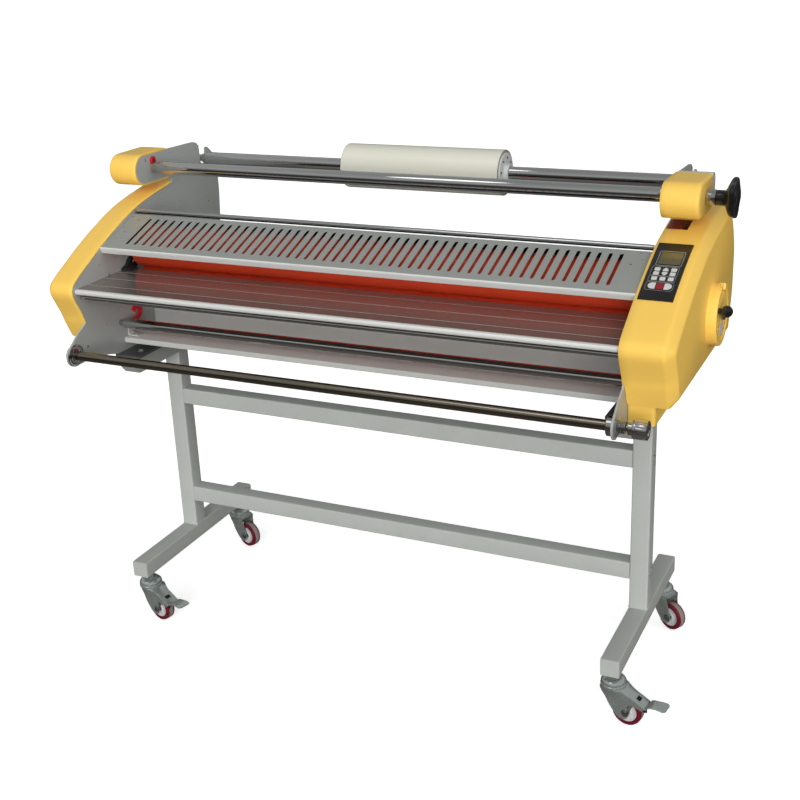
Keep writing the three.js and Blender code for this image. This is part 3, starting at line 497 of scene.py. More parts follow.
# ---------------------------------------------------------------- side plates
EDGE_IN = inset(COVER, 4.5)
lobe = (arc(HEAD_Y, HEAD_Z, HEAD_R - 4.5, 270, 90, 20)
        + [(135, HEAD_Z + 39.5), (262, 1325), (277, 1321), (287, 1311), (290, 1297), (290, 1264)]
        + arc(305.5, 1268, 15.5, 194, 346, 10)
        + [(321, 1298), (331, 1300), (347, 1289), (362, 1273), (373, 1244), (379, 1206), (378, 1150), (372, 1080), (360, 1000), (330, 900), (290, 830), (278, 807)])
PLATE = ([(-205, 807), (-250, 820), (-340, 831)] + arc(TAKE[0], TAKE[1], 31, 278, 150, 20) + [(-366, 912), (-322, 936)]
         + EDGE_IN[2:20] + [(128, 1226), (139, 1234), (128, HEAD_Z - 39.5)] + lobe)
PLATE = round_corners(PLATE, 7, 3)


def slot_out(y, z0, z1, r):
    return arc(y, z1, r, 0, 180, 12) + arc(y, z0, r, 180, 360, 12)


def plate(side, s):
    holes = [slot_out(ROLL_Y, UP_Z, UP_Z + 16, 14), circle(ROLL_Y, LOW_Z, 13.5, 28), circle(CAM_Y, CAM_Z, 9, 20),
             circle(FS[0], FS[1], 11, 24), circle(TAKE[0], TAKE[1], 9, 20), circle(287, 1309, 3, 12)]
    if s < 0:
        holes.append(circle(28, 937.86, 9, 20))
        holes += [circle(y, z, 2.2, 10) for y, z in ((13, 1255), (138, 1316), (136, 1253), (75, 1169), (165, 1167), (188, 1165), (315, 1135), (-239, 1075), (-166, 1077), (-240, 905), (-262, 985))]
    else:
        holes += [circle(y, z, 2.2, 10) for y, z in ((13, 1255), (136, 1253), (315, 1135), (165, 1167))]
    x0, x1 = s * PLATE_IN, s * (PLATE_IN + PLATE_T)
    house = lathe([(13.5, s * 749.5), (27, s * 749.5), (27, s * 761.5), (26, s * 762.5), (14.5, s * 762.5), (13.5, s * 761.5), (13.5, s * 749.5)], (ROLL_Y, LOW_Z), 40)
    screws = [pan((s * PLATE_IN, y, z), 4.2, 2.4, "x", -s) for y, z in ((16, 1315), (-205, 1040), (-330, 870), (150, 990), (150, 860), (-100, 860))]
    piece("side_plate_sheet_" + side, [(extrude(PLATE, x0, x1, holes=holes), "plate"), (house, "steel"), (screws, "zinc")],
          replaces="side_plate_" + side, bevel=.6, seg=2, sharp=40)


both(plate)

# ---------------------------------------------------------------- moulded end covers
SEGS = 4
CORNERS = {0, 26, 27}


def cover_rows(c, stations):
    """loops of the cover's outside, given (x, inset)"""
    rows = []
    for x, d in stations:
        o = smooth(inset(COVER, d), SEGS, True, CORNERS)
        rows.append([(x, y, z) for y, z in o])
    return rows


def inside(poly, y, z):
    hit = False
    for i in range(len(poly)):
        (a, b), (c, d) = poly[i - 1], poly[i]
        if (b > z) != (d > z) and y < (c - a) * (z - b) / (d - b) + a:
            hit = not hit
    return hit


def end_cover(side, s):
    x0, x1, x2 = COVER_R if s > 0 else COVER_L
    st = [(x0, 0.6), (x0 + .8, 0), (x0 + 20, 0), (x1 - 40, 0), (x1 - 9, 0), (x1 - 5, .35), (x1 - 1.5, 1.6), (x1 + 1.5, 4.0),
          (x1 + 4.5, 7.6), (x2 - 4.6, 18.2), (x2 - 2.2, 21.4), (x2 - .7, 24.2), (x2, 27.0)]
    inn = [(x0, 3.0), (x0 + 20, 3.0), (x1 - 9, 3.0), (x1 - 2.5, 4.0), (x1 + 1.5, 9.5), (x2 - 5.4, 21.0), (x2 - 3, 28.0)]
    big = inset(PLATE, -.6)

    def clear(x, y, z):
        return (s * (751.2 if x < 751.2 and inside(big, y, z) else x), y, z)

    outer = [[clear(*q) for q in r] for r in cover_rows(None, st)]
    inner = [[clear(*q) for q in r] for r in cover_rows(None, inn)]
    og = rows_to_mesh(outer, True, (False, True))
    ig = rows_to_mesh(inner, True, (False, True))
    n = len(outer[0])
    mouth = (outer[0] + inner[0], [[i, (i + 1) % n, (i + 1) % n + n, i + n] for i in range(n)])
    # inside faces in the darker yellow: painted shade
    piece("cover_shell_" + side, [([og, mouth], "yellow"), (ig, "yellow_in")], replaces="cover_" + side, sharp=55)
    # skirt: a U-shaped wall that hangs under the main shell, open below and towards the side plate
    sx = min(814, x1) - (0 if s > 0 else 0)
    u = round_corners([(s * (x0 + 6), -290), (s * sx, -290), (s * sx, 255), (s * (x0 + 6), 255)], 9, 5, only={1, 2})
    ui = round_corners([(s * (x0 + 6), -287), (s * (sx - 3), -287), (s * (sx - 3), 252), (s * (x0 + 6), 252)], 6, 5, only={1, 2})
    wall = u + list(reversed(ui))
    piece("cover_skirt_" + side, [(extrude(wall, 832, 886, "z"), "yellow")], bevel=.6, sharp=50)


both(end_cover)

# boss on the right cover, with its stepped notch
N = 144
out = []
for i in range(N):
    a = 2 * math.pi * i / N
    d = math.degrees(a) % 360
    # angle 0 points to the back, 90 up, 180 to the operator
    top = 893.0
    if 88 < d < 112:
        top = 886.0
    elif 74 < d <= 88:
        top = 880.0
    prof = [(79.5, 866.5), (77.4, 867.8), (76.3, 870), (76, 873), (76, top - 2.0), (75.4, top - .7), (74.2, top), (61.5, top), (60.4, top - .6), (60, top - 2), (60, 878.5), (60, 876)]
    out.append([(x, CAM_Y + r * math.cos(a), CAM_Z + r * math.sin(a)) for r, x in prof])
v = [p for r in out for p in r]
m = len(out[0])
f = []
for i in range(N):
    j = (i + 1) % N
    for k in range(m - 1):
        f.append([i * m + k, j * m + k, j * m + k + 1, i * m + k + 1])
f.append([i * m + m - 1 for i in range(N)])
steps = []
for a0, a1, x1_ in ((76, 84, 888), (96, 104, 891)):
    ring = [(CAM_Y + 74 * math.cos(rad(t)), CAM_Z + 74 * math.sin(rad(t))) for t in range(a0, a1 + 1, 2)] + \
           [(CAM_Y + 63 * math.cos(rad(t)), CAM_Z + 63 * math.sin(rad(t))) for t in range(a1, a0 - 1, -2)]
    steps.append(extrude(ring, 876, x1_))
piece("cover_boss", [((v, f), "yellow"), (steps, "yellow")], bevel=.5, sharp=45)

# ---------------------------------------------------------------- supply heads


def head_out(r, n=26):
    return arc(HEAD_Y, HEAD_Z, r, 270, 90, n) + [(HEAD_BACK - (HEAD_R - r), HEAD_Z + r), (HEAD_BACK - (HEAD_R - r), HEAD_Z - r)]


def head(side, s):
    rows = []
    for x, r in ((745.6, 43.4), (746.6, HEAD_R), (760, HEAD_R), (828, HEAD_R), (832, 43.4), (835, 41.8), (837.2, 39.2), (838, 36.5)):
        rows.append([(s * x, y, z) for y, z in head_out(r)])
    parts = [(rows_to_mesh(rows), "yellow")]
    scr = [pan((s * x, HEAD_BACK + .2, z), 3.4, 1.6, "y", 1) for x in (765, 820) for z in (1262, 1316)] if s < 0 else []
    if scr:
        parts.append((scr, "zinc"))
    piece("supply_head_shell_" + side, parts, replaces="supply_head_" + side, bevel=.8, sharp=40)


both(head)
cap = round_corners([(120.4, 1249), (150, 1249), (154, 1255), (154, 1318), (148, 1329), (138, 1333), (120.4, 1333)], 5, 4)
piece("head_end_cap", [
    (extrude(cap, 752, 836), "light"),
    ([pan((772, 154, 1290), 3.4, 1.6, "y", 1), pan((816, 154, 1290), 3.4, 1.6, "y", 1)], "zinc"),
], replaces="supply_head_end_cap", bevel=2.4, seg=4, sharp=40)

# steel sleeve and the black hand wheel with its lobes
piece("tension_sleeve", [(lathe([(9, 838.3), (17.8, 838.3), (19, 839.5), (19, 846), (18.3, 846.7), (18.3, 848.3), (19, 849), (19, 859.8), (18, 861), (9, 861), (9, 838.3)], FS, 56), "steel")],
      replaces="brake_sleeve", sharp=40)
lob = 5
rows = []
NA = lob * 30
for x, k, w_ in ((880.6, .36, 0), (881.4, .395, .0), (883, .43, .1), (886, .53, .4), (890, .72, .8), (893.5, .87, .95), (896.5, .955, 1), (899.5, .99, 1), (903, 1, 1), (906.6, .985, 1), (908.4, .955, 1),
                (909, .915, 1), (908.6, .87, 1), (907.2, .80, 1), (905.4, .66, .9), (904.2, .5, .5), (903.8, .34, 0), (905.6, .30, 0), (906.2, .27, 0)):
    rows.append([(x, FS[0] + (47.5 + 3.5 * w_ * math.cos(lob * a)) * k * math.cos(a), FS[1] + (47.5 + 3.5 * w_ * math.cos(lob * a)) * k * math.sin(a))
                 for a in (2 * math.pi * i / NA for i in range(NA))])
wheel_geo = rows_to_mesh(rows)
hub = lathe([(0, 830), (8, 830), (8, 862), (16.8, 862), (18.5, 863.2), (18.5, 873), (17.9, 873.6), (17.9, 874.6), (18.5, 875.2), (18.5, 880), (17.2, 882), (0, 882)], FS, 56)
plug = lathe([(0, 906), (10.4, 906), (10.4, 907), (9.6, 907.6), (5, 907.6), (4, 906.6), (0, 906.6)], FS, 40)
piece("tension_handwheel", [([wheel_geo, hub], "black"), (plug, "darksteel")], body="tension_knob", replaces="tension_knob", sharp=38)

# ---------------------------------------------------------------- supply shafts and the film roll
R = 18
piece("front_shaft", [
    (lathe([(R - .4, -719.6), (R, -719), (R, 727.6), (R - .4, 728.2), (R - 3, 728.3), (R - 3, -719.7), (R - .4, -719.6)], FS, 64), "chrome"),
    (lathe([(0, -800), (6.7, -800), (7.5, -799), (7.5, -738.6), (15.2, -738.5), (16, -737.6), (16, -722), (14.6, -720.4), (0, -720)], FS, 48), "steel"),
    (lathe([(0, 727), (17, 728), (22.2, 730), (23, 731), (23, 734.5), (21.2, 735.5), (21.2, 738), (23, 739), (23, 743.8), (22.2, 744.7), (10, 744.7), (10, 799.3), (9.3, 800), (0, 800)], FS, 56), "steel"),
    # near-black ring in the journal's groove: painted shade
    (lathe([(21.4, 735.7), (21.6, 736), (21.6, 737.6), (21.4, 737.9), (20, 737.9), (20, 735.7), (21.4, 735.7)], FS, 48), "hole"),
], body="supply_shaft_front", replaces="supply_shaft_front", sharp=38)
piece("rear_shaft", [
    (lathe([(R - .4, -725.6), (R, -725), (R, 725), (R - .4, 725.6), (R - 3, 725.6), (R - 3, -725.6), (R - .4, -725.6)], RS, 64), "chrome"),
    ([lathe([(0, s * 757), (9, s * 757), (10, s * 756), (10, s * 744.8), (12.4, s * 744.7), (13, s * 744), (13, s * 730), (16, s * 729), (16.6, s * 725), (0, s * 725)], RS, 48) for s in (-1, 1)], "steel"),
], body="supply_shaft_rear", replaces="supply_shaft_rear", sharp=38)
f0, f1, fr = -240, 235, 62.5
scr = []
for a in (35, 80, 125, 170, 215, 260, 305, 350):
    y, z = RS[0] + 41 * math.cos(rad(a)), RS[1] + 41 * math.sin(rad(a))
    scr.append(pan((f1 + 4.2, y, z), 3.0, 2.2, "x", 1, 14))
    scr.append(pan((f0 - 4.2, y, z), 3.0, 2.2, "x", -1, 14))
rings = [lathe([(fr - i * 1.35, f1 - .2), (fr - i * 1.35 - .5, f1 + .3 + .12 * (i % 2)), (fr - i * 1.35 - 1.0, f1 - .2), (fr - i * 1.35, f1 - .2)], RS, 72) for i in range(1, 7)]
piece("film_web", [
    (lathe([(fr - .6, f0), (fr, f0 + .6), (fr, f1 - .6), (fr - .6, f1), (19, f1), (19, f0), (fr - .6, f0)], RS, 96), "film"),
    (rings, "filmend"),
    ([lathe([(62.3, f1 + .1), (62.3, f1 + .5), (54.5, f1 + .5), (54.5, f1 + .1), (62.3, f1 + .1)], RS, 72), lathe([(62.3, f0 - .1), (62.3, f0 - .5), (54.5, f0 - .5), (54.5, f0 - .1), (62.3, f0 - .1)], RS, 72)], "filmend"),
    ([lathe([(19, f1 + .2), (54, f1 + .2), (54, f1 + 3.2), (53, f1 + 4.2), (26, f1 + 4.2), (24, f1 + 5), (24, f1 + 15), (23, f1 + 16), (19, f1 + 16), (19, f1 + .2)], RS, 72),
      lathe([(19, f0 - .2), (54, f0 - .2), (54, f0 - 3.2), (53, f0 - 4.2), (26, f0 - 4.2), (24, f0 - 5), (24, f0 - 13), (23, f0 - 14), (19, f0 - 14), (19, f0 - .2)], RS, 72)], "hub"),
    (scr, "darksteel"),
], body="supply_shaft_rear", replaces="film_roll", sharp=38)

# ---------------------------------------------------------------- pressure rollers, guide bars, liner and take-up bars


def press_roller(name, z, ends, body, rep):
    piece(name, [
        (lathe([(52, -723), (58.6, -722.4), (60, -720.6), (60, 720.6), (58.6, 722.4), (52, 723), (52, -723)], (ROLL_Y, z), 96), "silicone"),
        ([lathe([(0, s * 700), (51.6, s * 700), (51.6, s * 724), (50.4, s * 725.4), (34, s * 725.4), (30, s * 727), (20, s * 730), (13.5, s * 738), (12.5, s * 741), (12.5, s * (e - 1)), (11.5, s * e), (0, s * e)], (ROLL_Y, z), 64)
          for s, e in ((-1, ends[0]), (1, ends[1]))], "steel"),
    ], body=body, replaces=rep, sharp=38)


press_roller("lower_press_roller", LOW_Z, (767.6, 763), "lower_roller", "lower_roller")
press_roller("upper_press_roller", UP_Z, (764, 764), "upper_roller", "upper_roller")


def rod(name, r, y, z, body, x=744.9, mat="chrome", cap_="steel"):
    piece(name, [
        (lathe([(r - .5, -x + 6), (r, -x + 6.6), (r, x - 6.6), (r - .5, x - 6), (r - 2, x - 6), (r - 2, -x + 6), (r - .5, -x + 6)], (y, z), 40), mat),
        ([lathe([(0, s * (x - 9)), (r * .82, s * (x - 9)), (r * .82, s * (x - 1)), (r * .7, s * x), (0, s * x)], (y, z), 32) for s in (-1, 1)], cap_),
    ], body=body, replaces=body, sharp=38)


rod("guard_rod", 7, -51, 1185, "guard_bar")
rod("front_guide_rod", 7, -330, 1010, "guide_bar_front")
L = (-178, 892)
piece("liner_tube", [
    (lathe([(14, -727.6), (14.5, -727), (14.5, 727), (14, 727.6), (11, 727.6), (11, -727.6), (14, -727.6)], L, 56), "chrome"),
    ([lathe([(0, s * 720), (12.6, s * 720), (12.6, s * 728.6), (9.4, s * 730), (9, s * 731), (9, s * 744.2), (8.4, s * 744.9), (0, s * 744.9)], L, 40) for s in (-1, 1)], "steel"),
], body="liner_shaft", replaces="liner_shaft", sharp=38)
piece("takeup_tube", [
    (lathe([(12.1, -740), (12.5, -739.6), (12.5, 730.5), (12.1, 731), (9, 731), (9, -740), (12.1, -740)], TAKE, 56), "bar"),
    (lathe([(8, -744.9), (28.6, -744.9), (30, -743.8), (30, -741.6), (29.2, -740.7), (26.6, -740.5), (25.4, -741.4), (17.4, -741.4), (15.6, -740), (13.2, -738.9), (12.3, -738.9), (12.3, -741), (8, -741), (8, -744.9)], TAKE, 64), "chrome"),
    (lathe([(0, -758), (21.2, -758), (23.4, -757.2), (24, -756), (24, -753), (23.2, -751.6), (8, -751.5), (8, -740), (0, -740)], TAKE, 64), "steel"),
    (lathe([(0, 731), (22.6, 731), (24, 732.2), (24, 743.8), (23, 744.9), (8, 744.9), (8, 777), (7, 778), (0, 778)], TAKE, 56), "steel"),
], body="takeup_bar", replaces="takeup_bar", sharp=38)
piece("takeup_washers", [([lathe([(9, 750.6), (25, 750.6), (26, 751.2), (26, 751.9), (25, 752.4), (9, 752.4), (9, 750.6)], TAKE, 48), lathe([(9, 752.5), (19.4, 752.5), (20, 753), (20, 753.6), (19.4, 754), (9, 754), (9, 752.5)], TAKE, 48)], "zinc")], sharp=38)
pts = []
for i in range(int(4.5 * 24) + 1):
    t = i / 24 * 2 * math.pi
    pts.append((755.7 + (i / (4.5 * 24)) * 16.8, TAKE[0] + 13.5 * math.cos(t), TAKE[1] + 13.5 * math.sin(t)))
piece("takeup_coil", [(tube(pts, 1.6, 10), "steel")], replaces="takeup_spring", sharp=60)
K = 12
NK = K * 10
rows = []
for x, base, kn in ((790, 15, 0), (790, 21.4, 0), (790.8, 22.8, 0), (791.6, 23.2, 0), (796.4, 23.2, 0), (797, 22.6, 0), (797.8, 22.6, .2), (798.6, 23.0, .5), (820.6, 23.0, .5), (822.6, 22.4, .5), (823.5, 21.0, .3), (823.5, 13, 0), (820.5, 12, 0), (820.5, 8.5, 0)):
    ring = []
    for i in range(NK):
        a_ = 2 * math.pi * i / NK
        r_ = base - kn * 1.7 * max(0.0, math.cos(K * a_)) ** 2
        ring.append((x, TAKE[0] + r_ * math.cos(a_), TAKE[1] + r_ * math.sin(a_)))
    rows.append(ring)
piece("takeup_nut_knob", [
    (rows_to_mesh(rows), "alu"),
    (lathe([(8.4, 778.4), (14.6, 778.4), (16, 779.6), (16, 789), (15.2, 790.2), (8.4, 790.2), (8.4, 778.4)], TAKE, 48), "steel"),
    (lathe([(0, 818), (6.8, 818), (6.8, 821.6), (5.8, 822.6), (0, 822.6)], TAKE, 32), "darksteel"),
], body="takeup_knob", replaces="takeup_knob", sharp=30)

# ---------------------------------------------------------------- roller guard: folded sheet with 52 slots
GY0, GZ0, GY1, GZ1 = -229, 1122, -64, 1179
gl = math.hypot(GY1 - GY0, GZ1 - GZ0)
gc, gs = (GY1 - GY0) / gl, (GZ1 - GZ0) / gl
half = PLATE_IN - .5


def on_guard(x, t, h):
    """t up the slope from the front fold, h above the top face"""
    return (x, GY0 + t * gc - h * gs, GZ0 + t * gs + h * gc)


slots = []
for i in range(52):
    cx = -673 + i * 2 * 673 / 51
    slots.append([(cx + a, b) for a, b in (arc(0, gl - 21.5, 4.5, 0, 180, 8) + arc(0, 31.5, 4.5, 180, 360, 8))])
sheet = extrude([(-half, 3.2), (half, 3.2), (half, gl), (-half, gl)], -2, 0, "z", holes=slots)
sheet = moved(sheet, on_guard)
# front fold with its bend radius, then the lip
lipn = []
for a in range(0, 9):
    t = rad(a * 10.6)
    lipn.append((3.2 - 3.2 * math.sin(t), -3.2 * (1 - math.cos(t)) * 1.0))
outer = [(t, h) for t, h in lipn]
tl, hl = outer[-1]
outer += [(tl + .6, hl - 6), (tl + 2.6, -19.4)]
inner = [(tl + 4.4, -19.0), (tl + 2.7, hl - 6), (tl + 2.2, hl - .6)] + [(3.2 - 1.2 * math.sin(rad(a * 10.6)), -2 - 1.2 * (1 - math.cos(rad(a * 10.6)))) for a in range(7, -1, -1)]
prof = outer + inner
v, f = extrude([(t, h) for t, h in prof], -half, half)
fold = (v, f)
fold = ([on_guard(x, t, h) for x, t, h in fold[0]], fold[1])
# a fold down at the back
gscr = []
for x, y in ((-742 + 6, -78), (-742 + 6, -105), (-730, -129), (-726, -184), (-701, -185), (717, -75), (728, -102)):
    t = (y - GY0) / gc
    g = pan((0, 0, 0), 3.6, 1.9, "z", 1)
    gscr.append(([on_guard(x + a, t + b, c) for a, b, c in g[0]], g[1]))
# screw holes drawn as near-black discs lying on the guard: painted shade
hole_shade_discs = []
for x, y in ((-708, -92), (-716, -150), (704, -120)):
    t = (y - GY0) / gc
    g = lathe([(0, .05), (2.0, .05), (2.0, .25), (0, .25)], (0, 0), 14, "z")
    hole_shade_discs.append(([on_guard(x + a, t + b, c) for a, b, c in g[0]], g[1]))
# fold down at the back of the guard, closing the space over the upper roller; its matt black, unlike the guard's grey
# paint, is painted shade seen through the slots
shade_hood = extrude([(GY1 - 2, GZ1 - .6), (-4, 1151), (-2.2, 1150.6), (-1.6, 1149.6), (-1.6, 1098), (-3.6, 1098), (-3.6, 1148.4), (-5, 1149.4), (GY1 - 1.6, GZ1 - 2.2)], -half, half)
piece("guard_rear_skirt", [(shade_hood, "blackmat")], bevel=.3, sharp=25)
piece("guard_sheet", [(sheet, "guard")], replaces="roller_guard", bevel=.35, seg=2, sharp=40)
piece("guard_folds", [(fold, "lip")], sharp=40)
piece("guard_screws", [(gscr, "zinc"), (hole_shade_discs, "hole")], sharp=40)

# ---------------------------------------------------------------- feed table, panels, rear cover
T0, T1, TZ = -352, -119, 1036
top = []
for y in (-164, -227, -295):
    top.append([(y + 1.5, TZ), (y + 1.0, TZ - .9), (y - 1.0, TZ - .9), (y - 1.5, TZ)])
deck = [(T1, TZ)]
for g in top:
    deck += g
deck += [(T0 + 12, TZ), (T0 + 12, TZ - 3), (T1 - 3, TZ - 3), (T1 - 3, TZ - 34), (T1, TZ - 34)]
piece("table_deck", [(extrude(deck, -half, half), "table")], replaces="feed_table", bevel=.35, sharp=35)
# light strips in the deck's three grooves: painted highlight along the grooves
piece("table_grooves", [([extrude([(y + .9, TZ - .9), (y + .9, TZ - .35), (y - .9, TZ - .35), (y - .9, TZ - .9)], -half + .3, half - .3) for y in (-164, -227, -295)], "lip")], sharp=35)
lipo = [(T0 + 12, TZ)] + arc(T0 + 7.5, TZ - 7.5, 7.5, 90, 270, 16) + [(T0 + 14, TZ - 15), (T0 + 14, TZ - 13.2)] + arc(T0 + 7.5, TZ - 7.5, 5.6, 270, 90, 14) + [(T0 + 12, TZ - 1.9)]
piece("table_front_lip", [(extrude(lipo, -half, half), "lip")], bevel=.25, sharp=35)
tb = []
for x in (-600, -200, 200, 600):
    tb += [pan((x, T1 - .1, TZ - 20), 3.5, 1.8, "y", 1)]
piece("table_screws", [(tb, "zinc")])
piece("front_panel_sheet", [(extrude([(-16, 845.3), (-16, 905), (-17, 906.4), (-24, 906.6), (-24, 904.8), (-18, 904.7), (-18, 845.3)], -half, half), "light")], replaces="front_panel", bevel=.3, sharp=35)
C0, C1 = -168, 845
cross = [(C0 + 2, C1), (-12, C1), (-12, C1 - 3), (C0 + 4, C1 - 3), (C0 + 3, C1 - 4), (C0 + 3, 830), (C0, 830), (C0, C1 - 2), (C0 + .6, C1 - .6)]
piece("lower_crossmember_sheet", [(extrude(cross, -half, half), "light")], replaces="lower_crossmember", bevel=.35, sharp=35)
br = [(-742, C0 + 4), (-716, C0 + 4), (-716, C0 + 44), (-742, C0 + 44)]
piece("liner_bracket_left", [
    (extrude(round_corners([(-745, 845.4), (-712, 845.4), (-712, 848), (-742, 848), (-742, 866), (-745, 866)], 1.5, 3), -150, -128, "y"), "light"),
    ([pan((-725, -139, 848), 3.4, 2, "z", 1)], "zinc"),
], bevel=.4)
rc = [(6, 1026), (243, 1026), (249, 1024.6), (253.8, 1020.8), (256, 1015), (256, 847.4), (254.6, 846), (200, 846), (200, 848.5), (252, 848.5), (253.5, 850), (253.5, 1014), (251.6, 1018.6), (248, 1022), (242.4, 1023.5), (6, 1023.5)]
piece("rear_cover_sheet", [(extrude(rc, -half, half), "plate")], replaces="rear_cover", bevel=.35, sharp=30)
# vent slots drawn as near-black patches on the cover's face: painted shade in place of openings
vent_shade_patches = []
for k in range(3):
    for i in range(14):
        x = -430 + i * 66 + (0 if k % 2 == 0 else 0)
        z = 900 + k * 26
        vent_shade_patches.append(extrude(rrect(x, x + 44, z, z + 7, 3.4), 256.05, 256.7, "y"))
scr = [pan((x, 256, z), 4, 2.2, "y", 1) for x in (-715, -360, 0, 360, 715) for z in (866, 1004)]
scr += [pan((x, y, 1026), 4, 2.2, "z", 1) for x in (-715, 0, 715) for y in (24, 226)]
piece("rear_cover_vents", [(vent_shade_patches, "hole"), (scr, "zinc")])

# ---------------------------------------------------------------- black end bracket beside the nip, inside the left plate
bk = round_corners([(-148, 1032), (-92, 1032), (-84, 1042), (-84, 1062), (-104, 1068), (-120, 1060), (-128, 1048), (-148, 1042)], 5, 4)
piece("nip_bracket_left", [
    (extrude(bk, -744.9, -733), "blackmat"),
    (extrude(round_corners([(-150, 1034), (-118, 1034), (-118, 1046), (-150, 1042)], 4, 4), -733, -712), "blackmat"),
    ([pan((-733, -104, 1054), 4, 2.4, "x", 1)], "zinc"),
], bevel=1.2, seg=3)
piece("nip_bracket_right", [(moved(extrude(bk, -744.9, -733), lambda x, y, z: (-x, y, z)), "blackmat")], bevel=1.2, seg=3)

# ---------------------------------------------------------------- latches on the left plate
piece("latch_button", [
    (lathe([(0, -739.4), (9.6, -739.4), (11, -740.2), (11.5, -741.4), (11.5, -744.9), (0, -744.9)], (50, 1309.8), 40), "latch"),
    (lathe([(0, -739.2), (3.4, -739.2), (4.6, -739.5), (4.6, -741), (0, -741)], (50, 1309.8), 24), "darksteel"),
], body="latch_upper", replaces="latch_upper", sharp=38)
mid = smooth([(-122, 909), (-114, 917), (-103, 920), (-93, 915), (-89, 904), (-94, 893), (-106, 885), (-126, 880), (-150, 883)], 4, False)
lf, rt = [], []
for i, p in enumerate(mid):
    a, b = mid[max(0, i - 1)], mid[min(len(mid) - 1, i + 1)]
    l = math.hypot(b[0] - a[0], b[1] - a[1])
    nx, nz = -(b[1] - a[1]) / l, (b[0] - a[0]) / l
    lf.append((p[0] + nx * 5.5, p[1] + nz * 5.5)); rt.insert(0, (p[0] - nx * 5.5, p[1] - nz * 5.5))
piece("latch_hook", [(extrude(lf + rt, -744.9, -736), "latch")], body="latch_lower", replaces="latch_lower", bevel=1.6, seg=3, sharp=40)

# ---------------------------------------------------------------- control panel
EDGE = smooth(FRONT_EDGE, 6, False)
run = [p for p in EDGE if -244 < p[0] < -49]
acc = [0.0]
for i in range(1, len(run)):
    acc.append(acc[-1] + math.hypot(run[i][0] - run[i - 1][0], run[i][1] - run[i - 1][1]))
PL = acc[-1]


def slope(s, table=run, accs=acc):
    s = max(0.0, min(accs[-1], s))
    i = max(0, min(len(table) - 2, next((k for k in range(len(accs) - 1) if accs[k + 1] >= s), len(table) - 2)))
    t = (s - accs[i]) / (accs[i + 1] - accs[i])
    a, b = table[i], table[i + 1]
    # direction averaged over the neighbours, so that the film follows the curve
    c, d = table[max(0, i - 4)], table[min(len(table) - 1, i + 5)]
    l = math.hypot(d[0] - c[0], d[1] - c[1])
    ny, nz = -(d[1] - c[1]) / l, (d[0] - c[0]) / l
    return a[0] + (b[0] - a[0]) * t, a[1] + (b[1] - a[1]) * t, ny, nz


def on_slope(x, s, h):
    y, z, ny, nz = slope(s)
    return (x, y + ny * h, z + nz * h)


def pu(u):
    return 752.5 + 82 * u


def pv(v_):
    return PL * v_


def pad_shape(outline, h0, h1):
    g = extrude(outline, h0, h1, "z")
    return [on_slope(a, b, c) for a, b, c in g[0]], g[1]


def ring_shape(a0, a1, b0, b1, r, w, h0, h1):
    g = extrude(rrect(a0, a1, b0, b1, r, 6), h0, h1, "z", holes=[rrect(a0 + w, a1 - w, b0 + w, b1 - w, max(.3, r - w), 6)])
    return [on_slope(a, b, c) for a, b, c in g[0]], g[1]


rows = []
for i in range(41):
    s_ = PL * i / 40
    rows.append([on_slope(752.5, s_, .4), on_slope(753.0, s_, 2.3), on_slope(753.8, s_, 2.6), on_slope(833.2, s_, 2.6), on_slope(834.0, s_, 2.3), on_slope(834.5, s_, .4)])
piece("panel_film_sheet", [(rows_to_mesh(rows), "panel")], replaces="control_panel", sharp=45)
keys = []
cols = (.27, .503, .733)
kw, kh = 13.2, 12.0
for r_, v_ in enumerate((.502, .430, .342)):
    for c_, u_ in enumerate(cols):
        cx, cy = pu(u_), pv(v_)
        if c_ == 1 and r_ == 0:      # pointed upwards
            o = round_corners([(cx - kw / 2, cy - kh / 2), (cx + kw / 2, cy - kh / 2), (cx + kw / 2, cy), (cx, cy + kh * .62), (cx - kw / 2, cy)], 3, 4)
        elif c_ == 1 and r_ == 1:    # pointed downwards
            o = round_corners([(cx - kw / 2, cy + kh / 2), (cx - kw / 2, cy), (cx, cy - kh * .62), (cx + kw / 2, cy), (cx + kw / 2, cy + kh / 2)], 3, 4)
        else:
            o = rrect(cx - kw / 2, cx + kw / 2, cy - kh / 2, cy + kh / 2, 2.2, 4)
        keys.append(pad_shape(o, 2.5, 3.4))
cy = pv(.222)
dl = [(pu(.375), cy + 10.2), (pu(.375) - 6, cy + 10.2)] + arc(pu(.375) - 7, cy, 10.2, 90, 270, 10) + [(pu(.375) - 6, cy - 10.2), (pu(.375), cy - 10.2)]
dr = [(2 * pu(.5) - a, b) for a, b in dl]
keys += [pad_shape(dl, 2.5, 3.4), pad_shape(list(reversed(dr)), 2.5, 3.4)]
redk = pad_shape(rrect(pu(.402), pu(.598), cy - 10.2, cy + 10.2, 1.6, 4), 2.5, 3.4)
lines = [ring_shape(pu(.105), pu(.865), pv(.392), pv(.552), 3, .5, 2.5, 2.85), ring_shape(pu(.105), pu(.865), pv(.296), pv(.384), 3, .5, 2.5, 2.85),
         ring_shape(pu(.10), pu(.87), pv(.152), pv(.286), 6, .5, 2.5, 2.85)]
piece("panel_keys", [(keys, "key"), ([redk], "keyred")], bevel=.35, seg=2, sharp=40)
piece("panel_outlines", [(lines, "line")], sharp=40)
lx0, lx1, ls0, ls1 = pu(.158), pu(.885), pv(.568), pv(.834)
piece("lcd_pane", [
    (pad_shape(rrect(pu(.205), pu(.842), pv(.592), pv(.812), 1.5, 4), 2.5, 3.1), "lcd"),
    (ring_shape(lx0, lx1, ls0, ls1, 3.4, .9, 2.5, 3.0), "line"),
    (ring_shape(pu(.19), pu(.857), pv(.585), pv(.819), 2.0, 1.1, 2.5, 3.2), "panel"),
], replaces="lcd_window", sharp=40)

